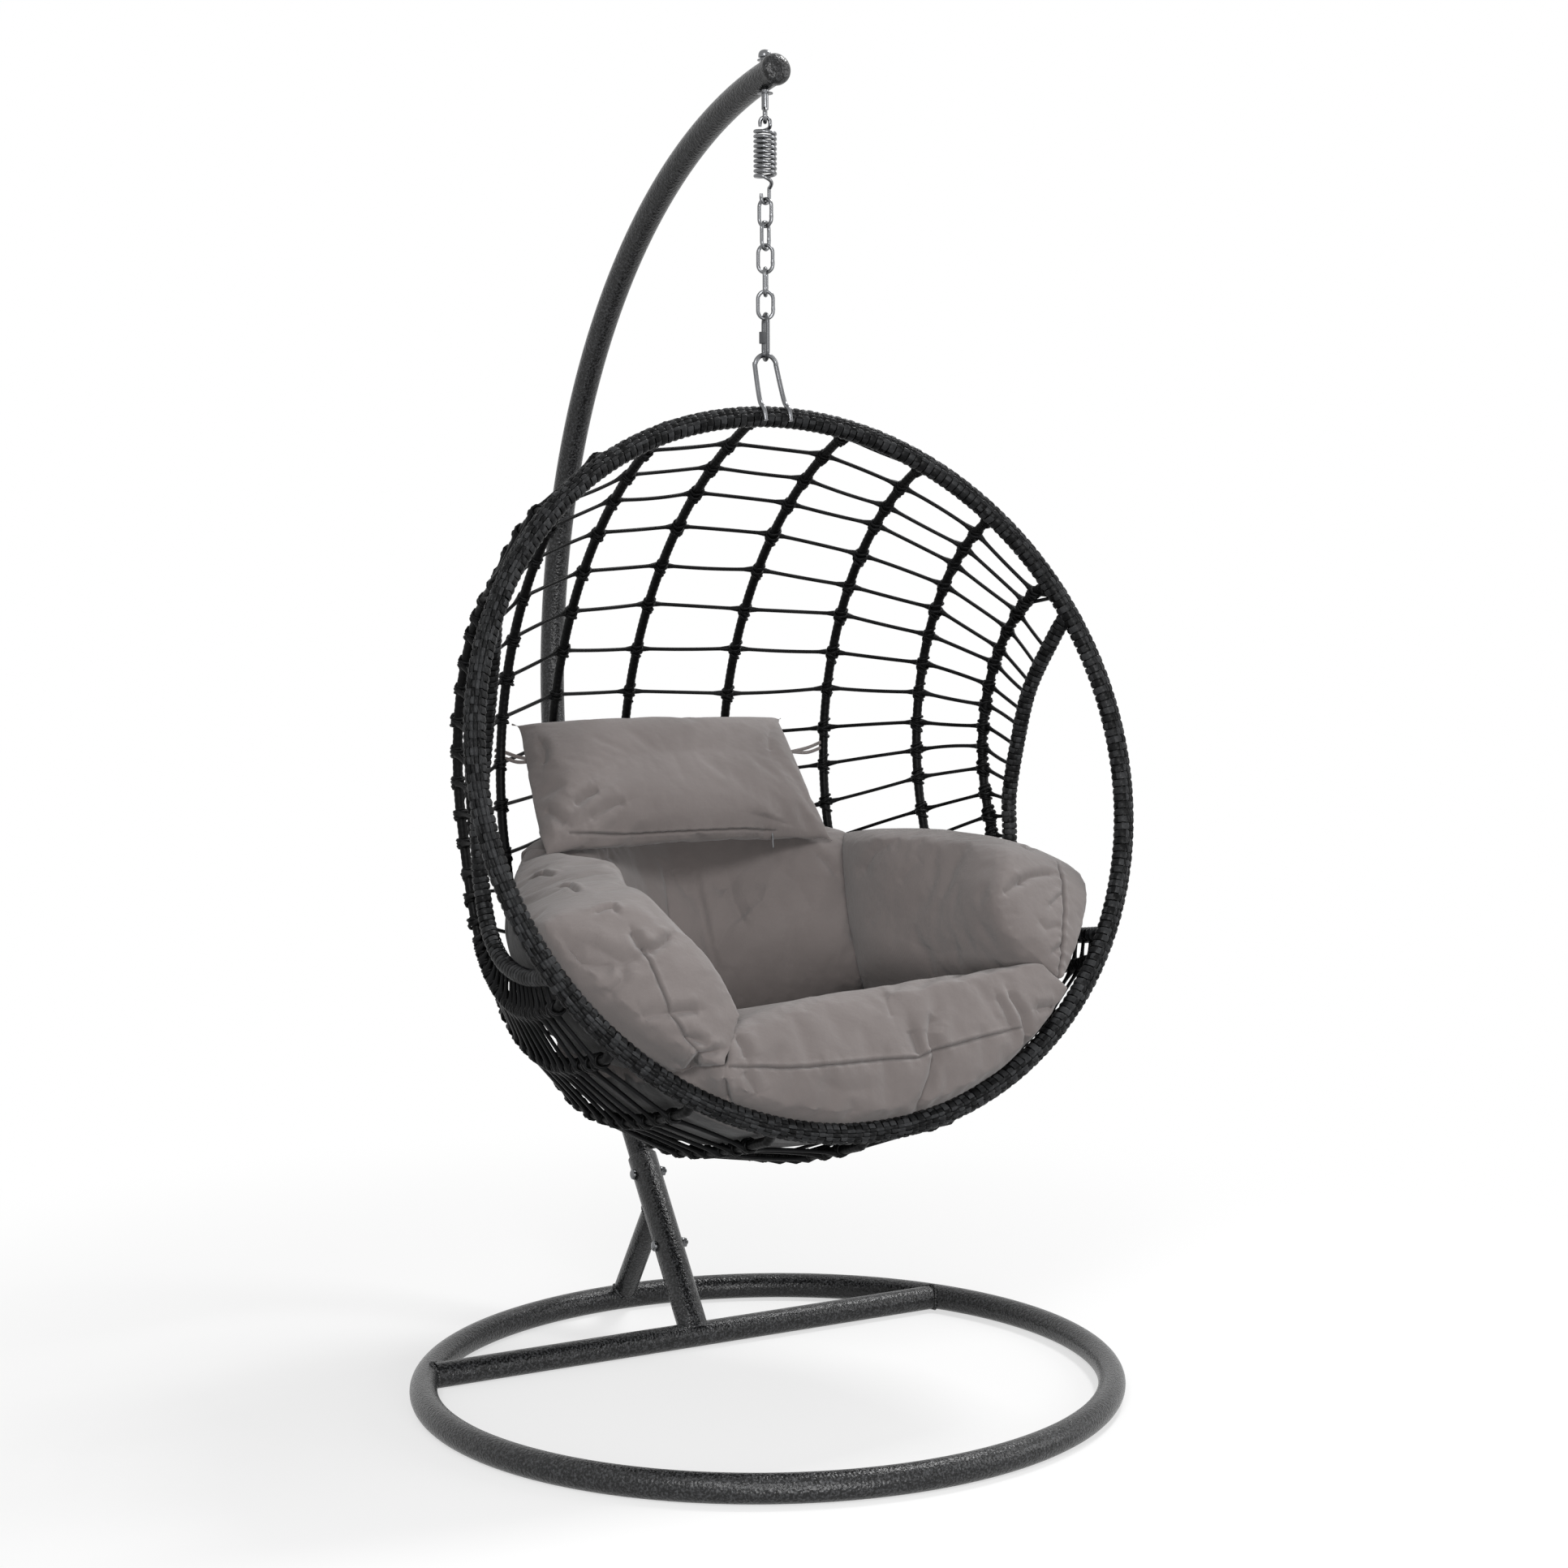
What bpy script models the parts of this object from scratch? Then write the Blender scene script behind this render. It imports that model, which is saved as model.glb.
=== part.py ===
import bpy
import bmesh
import numpy as np
from math import acos, atan2, cos, pi, radians, sin, sqrt
from mathutils import Matrix, Vector

for item in list(bpy.data.objects):
    bpy.data.objects.remove(item)

# All sizes are in metres and all angles in degrees, unless a note says otherwise.
# The chair faces -Y. Sizes are set from the centre of the floor ring, which stands on z = 0.
clearance = 0.0003
saddle_gap = 0.0030
root_clearance = 0.001
hang_play = 0.0006

# Floor ring and crossbar
ring_radius = 0.505
ring_tube = 0.040
ring_steps = 56
bar_tube = 0.038
bar_back = 0.2424

# Mast: straight from the crossbar, then one arc over the basket
mast_tube = 0.040
mast_wall = 0.0025
arc_radius = 0.90
arc_back = -0.13
arc_height = 1.02
arc_tip_angle = 83.4
mast_depth = 0.26
mast_steps = 26
mast_sides = 12

# Front leg socket, rear leg and their bolts
leg_growth = 0.0065
leg_tube = mast_tube + leg_growth
leg_length = 0.31
leg_sides = 20
strut_tube = 0.037
strut_ring_height = 0.028
strut_bite = 0.006
strut_joint = 0.225
bolt_places = (0.154, 0.280)
bolt_diameter = 0.008
bolt_head = 0.017
bolt_head_height = 0.005
bolt_spare = 0.003
nut_flats = 0.014
nut_height = 0.007

# End cap and eye bolt
cap_growth = 0.005
cap_diameter = mast_tube + cap_growth
cap_height = 0.017
cap_skirt = 0.004
spigot_length = 0.014
hang_back = 0.003
eye_wire = 0.007
eye_mean_radius = 0.0095
eye_height = 1.855
eye_shank = 0.010
eye_facing = 59.4
washer_diameter = 0.023
washer_thickness = 0.002
cap_nut_flange = 0.022
cap_nut_body = 0.019
cap_nut_neck = 0.013
cap_nut_rise = 0.004
cap_nut_dome = 0.0075
nut_saddle_gap = 0.0018

# Spring
spring_wire = 0.0055
spring_diameter = 0.034
spring_turns = 9
spring_pitch = 0.0072
spring_bottom = 1.765
curl_points = 10
hook_radius = 0.0072
hook_facing = 10.0
top_hook_facing = -30.6

# Chain and quick link
link_length = 0.0444
link_width = 0.0274
link_wire = 0.0055
link_facings = (-66.0, 34.0, -46.0, 54.0, -26.0)
quick_length = 0.071
quick_width = 0.034
quick_wire = 0.006
quick_facing = 74.0
sleeve_length = 0.017
sleeve_flats = 0.0125

# Hanging loop of the basket
loop_wire = 0.007
loop_top_half = 0.0175
loop_foot_half = 0.0203
loop_foot_front = 0.004

# Basket hoop, leaning back at the top
hoop_radius = 0.515
drawn_radius = 0.515  # the hoop that the basket's own places below are drawn for
hoop_growth = hoop_radius / drawn_radius
hoop_tube = 0.032
hoop_steps = 52
hoop_sides = 12
hoop_back = -0.1553
hoop_height = 0.9299
hoop_lean = 16.13

# Ribs: where each meets the hoop (angle from its top), and the bowl's shape between
rib_tube = 0.013
rib_steps = 22
rib_top_angles = (0.0, 16.4, 30.6, 45.4, 60.0)
rib_foot_angles = (0.0, 16.4, 30.6, 45.4, 56.0)
rib_half_widths = [width * hoop_growth for width in (0.0, 0.152, 0.281, 0.381, 0.439)]
rib_stand = 0.016
rib_root = 0.03
bowl_depth = 0.661
bowl_half_width = hoop_radius
bowl_plan_power = 1.59
bowl_upper_power = 1.94
bowl_lower_power = 3.36

# Side bars: the open windows' inner edge, as a route for the +X side
side_bar_tube = 0.024
bar_top_angle = 64.5
bar_foot_angle = 121.5
bar_route = (
    (0.456, -0.070, 1.107),
    (0.444, -0.023, 1.028),
    (0.441, 0.005, 0.947),
    (0.440, 0.026, 0.865),
    (0.440, 0.026, 0.815),
    (0.439, 0.020, 0.767),
    (0.439, -0.006, 0.708),
    (0.440, -0.057, 0.672),
    (0.441, -0.137, 0.661),
)

# Woven net: a thin skin just inside the ribs, one panel between each pair of ribs
net_thickness = 0.003
net_rows = 20
net_start = 0.032
net_rib_gap = 0.0015
net_edge_gap = 0.004
net_least_width = 0.015
net_panel_gap = 0.002

# Cushions
seat_thickness = 0.185
back_thickness = 0.150
arm_thickness = 0.190
seat_sides, seat_ends = (0.09, 0.08, 2.4), (0.10, 0.165, 6)
back_sides, back_ends = (0.10, 0.10, 5), (0.06, 0.10, 5)
right_arm_sides, left_arm_sides = (0.10, 0.155, 6), (0.125, 0.10, 5)
arm_ends = (0.06, 0.13, 4)
lobe_belly = 0.010
back_tuft = 0.03
cushion_gap = 0.026
seat_gap = 0.0185
arm_gap = 0.036
lobe_fill = 1.02
lobe_pull = 0.012
pillow_half_width = 0.258 * hoop_growth
pillow_half_height = 0.132 * hoop_growth
pillow_crown = 0.060
pillow_back_crown = 0.034
pillow_centre = (-0.014, 0.267, 0.881)
pillow_lean = 42.0
tie_diameter = 0.005
tie_start = (0.2305, 0.2995, 0.921)
tie_end = (0.253, 0.311, 0.932)
tie_sag = 0.006


def facing_matrix(angle):
    """Turn a piece drawn in the XZ plane so that it faces the given angle round Z."""
    return Matrix.Rotation(radians(angle), 4, "Z")


def empty(name, place, parent=None):
    thing = bpy.data.objects.new(name, None)
    thing.location = place
    thing.parent = parent
    bpy.context.collection.objects.link(thing)
    return thing


def material(name, colour, roughness, metallic):
    made = bpy.data.materials.new(name)
    made.use_nodes = True
    shader = made.node_tree.nodes["Principled BSDF"]
    shader.inputs["Base Color"].default_value = (*colour, 1.0)
    shader.inputs["Roughness"].default_value = roughness
    shader.inputs["Metallic"].default_value = metallic
    return made


# Each look is a colour, a roughness and a metallic value; every piece gets a material of its own
coated = ((0.035, 0.036, 0.038), 0.42, 0.3)
zinc = ((0.62, 0.63, 0.65), 0.28, 1.0)
rattan = ((0.02, 0.02, 0.021), 0.45, 0.0)
canvas = ((0.17, 0.14, 0.135), 0.9, 0.0)


def add(name, data, look, parent, pivot=(0.0, 0.0, 0.0)):
    """Link a piece drawn in ring coordinates under a parent empty that stands at pivot."""
    thing = bpy.data.objects.new(name, data)
    thing.location = -Vector(pivot)
    thing.parent = parent
    data.materials.clear()
    data.materials.append(material(f"{name}_finish", *look))
    bpy.context.collection.objects.link(thing)
    return thing


def tube(points, diameter, sides=8, closed=False, turn=None):
    """A round bar along a route, as a bevelled curve."""
    curve = bpy.data.curves.new("tube", "CURVE")
    curve.dimensions = "3D"
    curve.bevel_depth = diameter / 2
    curve.bevel_resolution = (sides - 4) // 2
    curve.use_fill_caps = True
    spline = curve.splines.new("POLY")
    spline.points.add(len(points) - 1)
    for spot, point in zip(spline.points, points):
        place = Vector(point)
        if turn is not None:
            place = turn @ place
        spot.co = (*place, 1.0)
    spline.use_cyclic_u = closed
    return curve


def mesh_of(data):
    """The mesh that a curve, or a mesh with modifiers, evaluates to."""
    holder = bpy.data.objects.new("holder", data)
    bpy.context.collection.objects.link(holder)
    graph = bpy.context.evaluated_depsgraph_get()
    mesh = bpy.data.meshes.new_from_object(holder.evaluated_get(graph))
    bpy.data.objects.remove(holder)
    work = bmesh.new()
    work.from_mesh(mesh)
    bmesh.ops.remove_doubles(work, verts=work.verts, dist=1e-6)
    work.to_mesh(mesh)
    work.free()
    return mesh


def pipe(points, outer, inner, sides):
    """An open-ended pipe along a route in the YZ plane: two skins bridged at both ends."""
    work = bmesh.new()
    rings = []
    across = Vector((1, 0, 0))
    for index, point in enumerate(points):
        before = points[max(index - 1, 0)]
        after = points[min(index + 1, len(points) - 1)]
        lift = across.cross((after - before).normalized())
        pair = []
        for diameter in (outer, inner):
            ring = []
            for side in range(sides):
                angle = 2 * pi * side / sides
                reach = across * cos(angle) + lift * sin(angle)
                ring.append(work.verts.new(point + reach * diameter / 2))
            pair.append(ring)
        rings.append(pair)
    for side in range(sides):
        beside = (side + 1) % sides
        for (low_out, low_in), (high_out, high_in) in zip(rings, rings[1:]):
            work.faces.new((low_out[side], low_out[beside], high_out[beside], high_out[side]))
            work.faces.new((low_in[beside], low_in[side], high_in[side], high_in[beside]))
        for out_ring, in_ring in (rings[0], rings[-1]):
            work.faces.new((out_ring[side], out_ring[beside], in_ring[beside], in_ring[side]))
    bmesh.ops.recalc_face_normals(work, faces=work.faces)
    mesh = bpy.data.meshes.new("pipe")
    work.to_mesh(mesh)
    work.free()
    mesh.shade_smooth()
    mesh.set_sharp_from_angle(angle=radians(40))
    return mesh


def hidden(name, data, parent=None):
    """A cutter, drawn in the same coordinates as the pieces it cuts."""
    thing = bpy.data.objects.new(name, data)
    thing.parent = parent
    thing.hide_render = True
    thing.display_type = "WIRE"
    bpy.context.collection.objects.link(thing)
    return thing


def boolean(thing, other, operation="DIFFERENCE"):
    step = thing.modifiers.new(operation.lower(), "BOOLEAN")
    step.operation = operation
    step.solver = "EXACT"
    step.object = other
    return thing


def turned(profile, segments, place):
    """A solid of revolution round Z from (radius, height) pairs that start and end on the axis."""
    work = bmesh.new()
    spots = [work.verts.new((radius, 0.0, height)) for radius, height in profile]
    edges = [work.edges.new(pair) for pair in zip(spots, spots[1:])]
    bmesh.ops.spin(
        work, geom=spots + edges, cent=(0, 0, 0), axis=(0, 0, 1),
        angle=2 * pi, steps=segments, use_merge=True,
    )
    bmesh.ops.remove_doubles(work, verts=work.verts, dist=1e-6)
    bmesh.ops.recalc_face_normals(work, faces=work.faces)
    bmesh.ops.transform(work, matrix=place, verts=work.verts)
    mesh = bpy.data.meshes.new("turned")
    work.to_mesh(mesh)
    work.free()
    mesh.shade_smooth()
    mesh.set_sharp_from_angle(angle=radians(40))
    return mesh


def ring_mesh(radius, section, steps, sides, place, flat_down=False):
    """A full ring round Z; with flat_down its lowest face lies section / 2 below the centre."""
    reach = section / 2
    if flat_down:
        reach = section / 2 / cos(pi / sides)
    work = bmesh.new()
    spots = []
    for index in range(sides):
        angle = 2 * pi * (index + 0.5) / sides
        spots.append(work.verts.new((radius + reach * cos(angle), 0.0, reach * sin(angle))))
    edges = [work.edges.new((spots[index - 1], spots[index])) for index in range(sides)]
    bmesh.ops.spin(
        work, geom=spots + edges, cent=(0, 0, 0), axis=(0, 0, 1),
        angle=2 * pi, steps=steps, use_merge=True,
    )
    bmesh.ops.remove_doubles(work, verts=work.verts, dist=1e-6)
    bmesh.ops.recalc_face_normals(work, faces=work.faces)
    bmesh.ops.transform(work, matrix=place, verts=work.verts)
    mesh = bpy.data.meshes.new("ring")
    work.to_mesh(mesh)
    work.free()
    mesh.shade_smooth()
    return mesh


def along(start, end):
    """The matrix that stands a Z-drawn piece at start, pointing to end."""
    direction = Vector(end) - Vector(start)
    return Matrix.Translation(start) @ direction.to_track_quat("Z", "Y").to_matrix().to_4x4()


def resample(points, count):
    """The same route with count points at equal steps along it."""
    route = np.asarray(points, dtype=float)
    steps = np.linalg.norm(np.diff(route, axis=0), axis=1)
    length = np.concatenate([[0.0], np.cumsum(steps)])
    wanted = np.linspace(0.0, length[-1], count)
    return np.stack([np.interp(wanted, length, route[:, axis]) for axis in range(3)], axis=1)


def least_self_gap(points, diameter):
    """The least gap between parts of a wound tube that aren't neighbours along it."""
    route = resample(points, 1200)
    step = np.linalg.norm(route[1] - route[0])
    apart = int(2.5 * diameter / step)
    gap = 1.0
    for index in range(len(route) - apart):
        reach = np.linalg.norm(route[index + apart:] - route[index], axis=1).min()
        gap = min(gap, reach - diameter)
    return gap


# ---- Stand -------------------------------------------------------------------------------------

mast_back = arc_back + arc_radius + mast_tube / 2
ring_front = ring_radius + ring_tube / 2
frame_shift = (mast_back - ring_front) / 2
stand = empty("stand_frame", (0.0, -frame_shift, 0.0))

foot = Vector((0.0, bar_back, ring_tube / 2))
arc_centre = Vector((0.0, arc_back, arc_height))
to_foot = foot - arc_centre
tangent_angle = atan2(to_foot.z, to_foot.y) + acos(arc_radius / to_foot.length)
tangent_point = arc_centre + arc_radius * Vector((0.0, cos(tangent_angle), sin(tangent_angle)))
leg_way = (tangent_point - foot).normalized()


def mast_route(start, arc_steps=mast_steps):
    """Points from start metres up the straight part, over the arc, to the tip."""
    points = [foot + leg_way * start]
    for index in range(arc_steps + 1):
        share = index / arc_steps
        angle = tangent_angle + (radians(arc_tip_angle) - tangent_angle) * share
        points.append(arc_centre + arc_radius * Vector((0.0, cos(angle), sin(angle))))
    return points


def extended(points, extra):
    """The same route, longer by extra at both ends."""
    first = points[0] + (points[0] - points[1]).normalized() * extra
    last = points[-1] + (points[-1] - points[-2]).normalized() * extra
    return [first] + points[1:-1] + [last]


ring_place = Matrix.Translation((0.0, 0.0, ring_tube / 2))
add(
    "base_ring",
    ring_mesh(ring_radius, ring_tube, ring_steps, 12, ring_place, flat_down=True),
    coated, stand,
)
ring_cutter = hidden(
    "ring_cutter",
    ring_mesh(ring_radius, ring_tube + 2 * clearance, ring_steps, 12, ring_place, flat_down=True),
    stand,
)

bar_half = sqrt(ring_radius ** 2 - bar_back ** 2)
bar_ends = [(-bar_half, bar_back, ring_tube / 2), (bar_half, bar_back, ring_tube / 2)]
crossbar = add("base_crossbar", mesh_of(tube(bar_ends, bar_tube, 16)), coated, stand)
boolean(crossbar, ring_cutter)

bar_reach = [(-0.1, bar_back, ring_tube / 2), (0.1, bar_back, ring_tube / 2)]
bar_cutter = hidden("bar_cutter", mesh_of(tube(bar_reach, bar_tube + 2 * clearance, 16)), stand)

leg_ends = [foot, foot + leg_way * leg_length]
leg_bore = (mast_tube + 2 * clearance) / cos(pi / leg_sides)
front_leg = add("front_leg", pipe(leg_ends, leg_tube, leg_bore, leg_sides), coated, stand)
boolean(front_leg, bar_cutter)

strut_start = Vector((0.0, ring_radius - strut_bite, strut_ring_height))
strut_end = foot + leg_way * strut_joint
rear_leg = add("rear_leg", mesh_of(tube([strut_start, strut_end], strut_tube, 16)), coated, stand)
leg_cutter = hidden("leg_cutter", mesh_of(tube(leg_ends, leg_tube + 2 * clearance, leg_sides)), stand)
boolean(rear_leg, ring_cutter)
boolean(rear_leg, leg_cutter)

mast_points = mast_route(leg_length - mast_depth)
mast = add("mast", pipe(mast_points, mast_tube, mast_tube - 2 * mast_wall, mast_sides), coated, stand)


def screw_profile(length, shank, head, head_height, neck=0.0):
    """A domed head on top of a plain shank, seated at height 0."""
    dome = [(head / 2 * cos(a), neck + head_height * (0.35 + 0.65 * sin(a)))
            for a in (radians(20 * i) for i in range(5))]
    return (
        [(0.0, -length), (shank / 2, -length), (shank / 2, neck), (head / 2, neck)]
        + dome
        + [(0.0, neck + head_height)]
    )


def hex_nut(flats, height, bore, place):
    """A hexagonal nut with an open bore, standing on height 0."""
    work = bmesh.new()
    bmesh.ops.create_cone(
        work, cap_ends=True, segments=6, radius1=flats / 2 / cos(pi / 6),
        radius2=flats / 2 / cos(pi / 6), depth=height,
    )
    bmesh.ops.translate(work, vec=(0, 0, height / 2), verts=work.verts)
    mesh = bpy.data.meshes.new("nut")
    work.to_mesh(mesh)
    work.clear()
    bmesh.ops.create_cone(
        work, cap_ends=True, segments=16, radius1=bore / 2, radius2=bore / 2, depth=3 * height,
    )
    hole = bpy.data.meshes.new("nut_hole")
    work.to_mesh(hole)
    work.free()
    holder = bpy.data.objects.new("holder", mesh)
    cutter = bpy.data.objects.new("cutter", hole)
    bpy.context.collection.objects.link(holder)
    bpy.context.collection.objects.link(cutter)
    boolean(holder, cutter)
    graph = bpy.context.evaluated_depsgraph_get()
    cut = bpy.data.meshes.new_from_object(holder.evaluated_get(graph))
    bpy.data.objects.remove(holder)
    bpy.data.objects.remove(cutter)
    cut.transform(place)
    return cut


for index, place in enumerate(bolt_places, start=1):
    centre = foot + leg_way * place
    left_face = centre - Vector((leg_tube / 2 + clearance, 0, 0))
    right_face = centre + Vector((leg_tube / 2 + clearance, 0, 0))
    shank = leg_tube + 2 * clearance + nut_height + bolt_spare
    profile = screw_profile(shank, bolt_diameter, bolt_head, bolt_head_height)
    add(f"leg_bolt_{index}", turned(profile, 12, along(left_face, centre - Vector((1, 0, 0)))),
        zinc, stand)
    nut_place = along(right_face, centre + Vector((1, 0, 0)))
    add(f"leg_nut_{index}",
        hex_nut(nut_flats, nut_height, bolt_diameter + 2 * clearance, nut_place), zinc, stand)
    across = [centre - Vector((0.05, 0, 0)), centre + Vector((0.05, 0, 0))]
    hole = hidden(
        f"leg_hole_{index}", mesh_of(tube(across, bolt_diameter + 2 * clearance, 16)), stand,
    )
    boolean(front_leg, hole)
    boolean(mast, hole)

# End cap: a dome over the mast's tip with a spigot in its bore
tip = mast_points[-1]
tip_way = (mast_points[-1] - mast_points[-2]).normalized()
cap_radius = cap_diameter / 2
spigot_radius = (mast_tube / 2 - mast_wall) * cos(pi / mast_sides) - clearance
dome = [(cap_radius * cos(radians(a)), cap_skirt + (cap_height - cap_skirt) * sin(radians(a)))
        for a in range(0, 90, 15)]
cap_profile = (
    [(0.0, -spigot_length), (spigot_radius, -spigot_length), (spigot_radius, 0.0),
     (cap_radius, 0.0)]
    + dome
    + [(0.0, cap_height)]
)
cap_seat = tip + tip_way * clearance
add("mast_end_cap", turned(cap_profile, 18, along(cap_seat, cap_seat + tip_way)), coated, stand)

# Eye bolt: a ring and a shank through the mast, with a domed nut above and a washer below
arc_over_hang = arc_height + sqrt(arc_radius ** 2 - (hang_back - arc_back) ** 2)
mast_top = arc_over_hang + mast_tube / 2
mast_under = arc_over_hang - mast_tube / 2 - saddle_gap
hang_line = Vector((0.0, hang_back, 0.0))
shank_bottom = eye_height + eye_mean_radius
shank_top = mast_top + nut_saddle_gap + cap_nut_rise + cap_nut_dome * 0.7
eye_centre = hang_line + Vector((0, 0, eye_height))
eye_place = (
    Matrix.Translation(eye_centre)
    @ Matrix.Rotation(radians(eye_facing), 4, "Z")
    @ Matrix.Rotation(radians(90), 4, "X")
)
shank_line = [hang_line + Vector((0, 0, shank_bottom)), hang_line + Vector((0, 0, shank_top))]
eye_ring = ring_mesh(eye_mean_radius, eye_wire, 24, 8, eye_place)
eye_bolt = add("eye_bolt", eye_ring, zinc, stand)
eye_shank_guide = hidden("eye_shank_guide", mesh_of(tube(shank_line, eye_shank, 16)), stand)
boolean(eye_bolt, eye_shank_guide, "UNION")

eye_hole = hidden(
    "eye_hole", mesh_of(tube(extended(shank_line, 0.05), eye_shank + 2 * clearance, 16)), stand,
)
boolean(mast, eye_hole)

nut_bore = eye_shank + 2 * clearance
flange = cap_nut_flange / 2
neck = cap_nut_neck / 2
body = cap_nut_body / 2
nut_profile = [
    (0.0, 0.0), (flange, 0.0), (flange, 0.4 * cap_nut_rise), (neck, 0.6 * cap_nut_rise),
    (neck, cap_nut_rise), (body, 1.1 * cap_nut_rise), (body, cap_nut_rise + 0.8 * cap_nut_dome),
    (0.63 * body, cap_nut_rise + 1.35 * cap_nut_dome), (0.0, cap_nut_rise + 1.55 * cap_nut_dome),
]
nut_seat = hang_line + Vector((0, 0, mast_top + nut_saddle_gap))
eye_nut = add("eye_bolt_nut", turned(nut_profile, 14, Matrix.Translation(nut_seat)), zinc, stand)
nut_hole = hidden(
    "eye_nut_hole",
    mesh_of(tube([nut_seat - Vector((0, 0, 0.02)),
                  hang_line + Vector((0, 0, shank_top + clearance))], nut_bore, 16)),
    stand,
)
boolean(eye_nut, nut_hole)

washer_base = hang_line + Vector((0, 0, mast_under - washer_thickness))
washer_radius = washer_diameter / 2
washer_ring = [(0.0, 0.0), (washer_radius, 0.0), (washer_radius, washer_thickness),
               (0.0, washer_thickness)]
washer = add("eye_bolt_washer", turned(washer_ring, 20, Matrix.Translation(washer_base)),
             zinc, stand)
boolean(washer, eye_hole)

# ---- Spring, chain and quick link --------------------------------------------------------------


def hook_to_coil(height_from, height_to, radius_from, radius_to, start_angle, turn, steps):
    """Points that wind out from a hook's leg to the coil, without the first and last."""
    points = []
    for index in range(1, steps):
        share = index / steps
        swell = share * share * (3 - 2 * share)
        radius = radius_from + (radius_to - radius_from) * swell
        angle = start_angle + turn * share
        height = height_from + (height_to - height_from) * share
        points.append(Vector((radius * cos(angle), radius * sin(angle), height)))
    return points


coil_radius = (spring_diameter - spring_wire) / 2
coil_top = spring_bottom + spring_wire / 2 + spring_turns * spring_pitch
coil_bottom = spring_bottom + spring_wire / 2
eye_low_top = eye_height - eye_mean_radius + eye_wire / 2
hook_top_arch = eye_low_top + hang_play + spring_wire / 2
top_arch_centre = hook_top_arch - hook_radius
link_top_first = 1.7395
hook_low = link_top_first - link_wire - hang_play - spring_wire / 2
low_arch_centre = hook_low + hook_radius

# The coil's own angles are counted so that it starts where the top hook's leg winds out to it
top_leg_angle = radians(top_hook_facing)
low_leg_angle = radians(hook_facing)
wind_out = radians(150)
coil_start = top_leg_angle + wind_out
coil_end = low_leg_angle - wind_out
coil_turn = coil_end - coil_start
while coil_turn < 2 * pi * (spring_turns - 0.5):
    coil_turn += 2 * pi


def in_plane(across, angle, height):
    return Vector((across * cos(angle), across * sin(angle), height))


top_tip_height = top_arch_centre - 0.006
spring_points = [in_plane(-hook_radius, top_leg_angle, top_tip_height)]
for index in range(9):
    sweep = pi - pi * index / 8
    spring_points.append(in_plane(hook_radius * cos(sweep), top_leg_angle,
                                  top_arch_centre + hook_radius * sin(sweep)))
spring_points.append(in_plane(hook_radius, top_leg_angle, top_arch_centre - 0.004))
spring_points += hook_to_coil(top_arch_centre - 0.004, coil_top, hook_radius, coil_radius,
                              top_leg_angle, wind_out, 6)
coil_steps = round(curl_points * coil_turn / (2 * pi))
for index in range(coil_steps + 1):
    share = index / coil_steps
    angle = coil_start + coil_turn * share
    spring_points.append(in_plane(coil_radius, angle, coil_top + (coil_bottom - coil_top) * share))
low_leg_top = low_arch_centre + 0.014
low_way = hook_to_coil(low_leg_top, coil_bottom, hook_radius, coil_radius,
                       low_leg_angle, -wind_out, 6)
spring_points += reversed(low_way)
spring_points.append(in_plane(hook_radius, low_leg_angle, low_leg_top))
for index in range(9):
    sweep = -pi * index / 8
    spring_points.append(in_plane(hook_radius * cos(sweep), low_leg_angle,
                                  low_arch_centre + hook_radius * sin(sweep)))
low_tip_height = low_arch_centre + 0.006
spring_points.append(in_plane(-hook_radius, low_leg_angle, low_tip_height))
spring_points = [point + hang_line for point in spring_points]
print("spring: least gap to itself, mm:",
      round(1000 * least_self_gap(spring_points, spring_wire), 2))

eye_pivot_height = (eye_low_top + hook_top_arch - spring_wire / 2) / 2
eye_pivot = hang_line + Vector((0, 0, eye_pivot_height))
swing_side = empty("swing_side_pivot", eye_pivot, stand)
add("spring", tube(spring_points, spring_wire, 6), zinc, swing_side, eye_pivot)


def link_points(length, width, wire, turns=7):
    """A chain link's centre line, upright round its own centre in the XZ plane."""
    reach = (width - wire) / 2
    straight = (length - width) / 2
    points = []
    for index in range(turns + 1):
        sweep = pi * index / turns
        points.append(Vector((reach * cos(sweep), 0, straight + reach * sin(sweep))))
    for index in range(turns + 1):
        sweep = pi + pi * index / turns
        points.append(Vector((reach * cos(sweep), 0, -straight + reach * sin(sweep))))
    return points


link_pitch = link_length - 2 * link_wire - hang_play
parent = swing_side
parent_pivot = eye_pivot
for index, facing in enumerate(link_facings):
    link_top = link_top_first - index * link_pitch
    pivot = hang_line + Vector((0, 0, link_top - link_wire - hang_play / 2))
    holder = empty(f"link_{index + 1}_pivot", pivot - parent_pivot, parent)
    centre = hang_line + Vector((0, 0, link_top - link_length / 2))
    turn = Matrix.Translation(centre) @ facing_matrix(facing)
    curve = tube(link_points(link_length, link_width, link_wire), link_wire, 8, True, turn)
    add(f"chain_link_{index + 1}", curve, zinc, holder, pivot)
    parent = holder
    parent_pivot = pivot

quick_top = link_top_first - 5 * link_pitch + (quick_wire - link_wire)
quick_pivot = hang_line + Vector((0, 0, quick_top - quick_wire - hang_play / 2))
quick_holder = empty("quick_link_pivot", quick_pivot - parent_pivot, parent)
quick_centre = hang_line + Vector((0, 0, quick_top - quick_length / 2))
quick_turn = Matrix.Translation(quick_centre) @ facing_matrix(quick_facing)
quick_curve = tube(
    link_points(quick_length, quick_width, quick_wire, 8), quick_wire, 8, True, quick_turn,
)
add("quick_link", quick_curve, zinc, quick_holder, quick_pivot)

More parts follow.
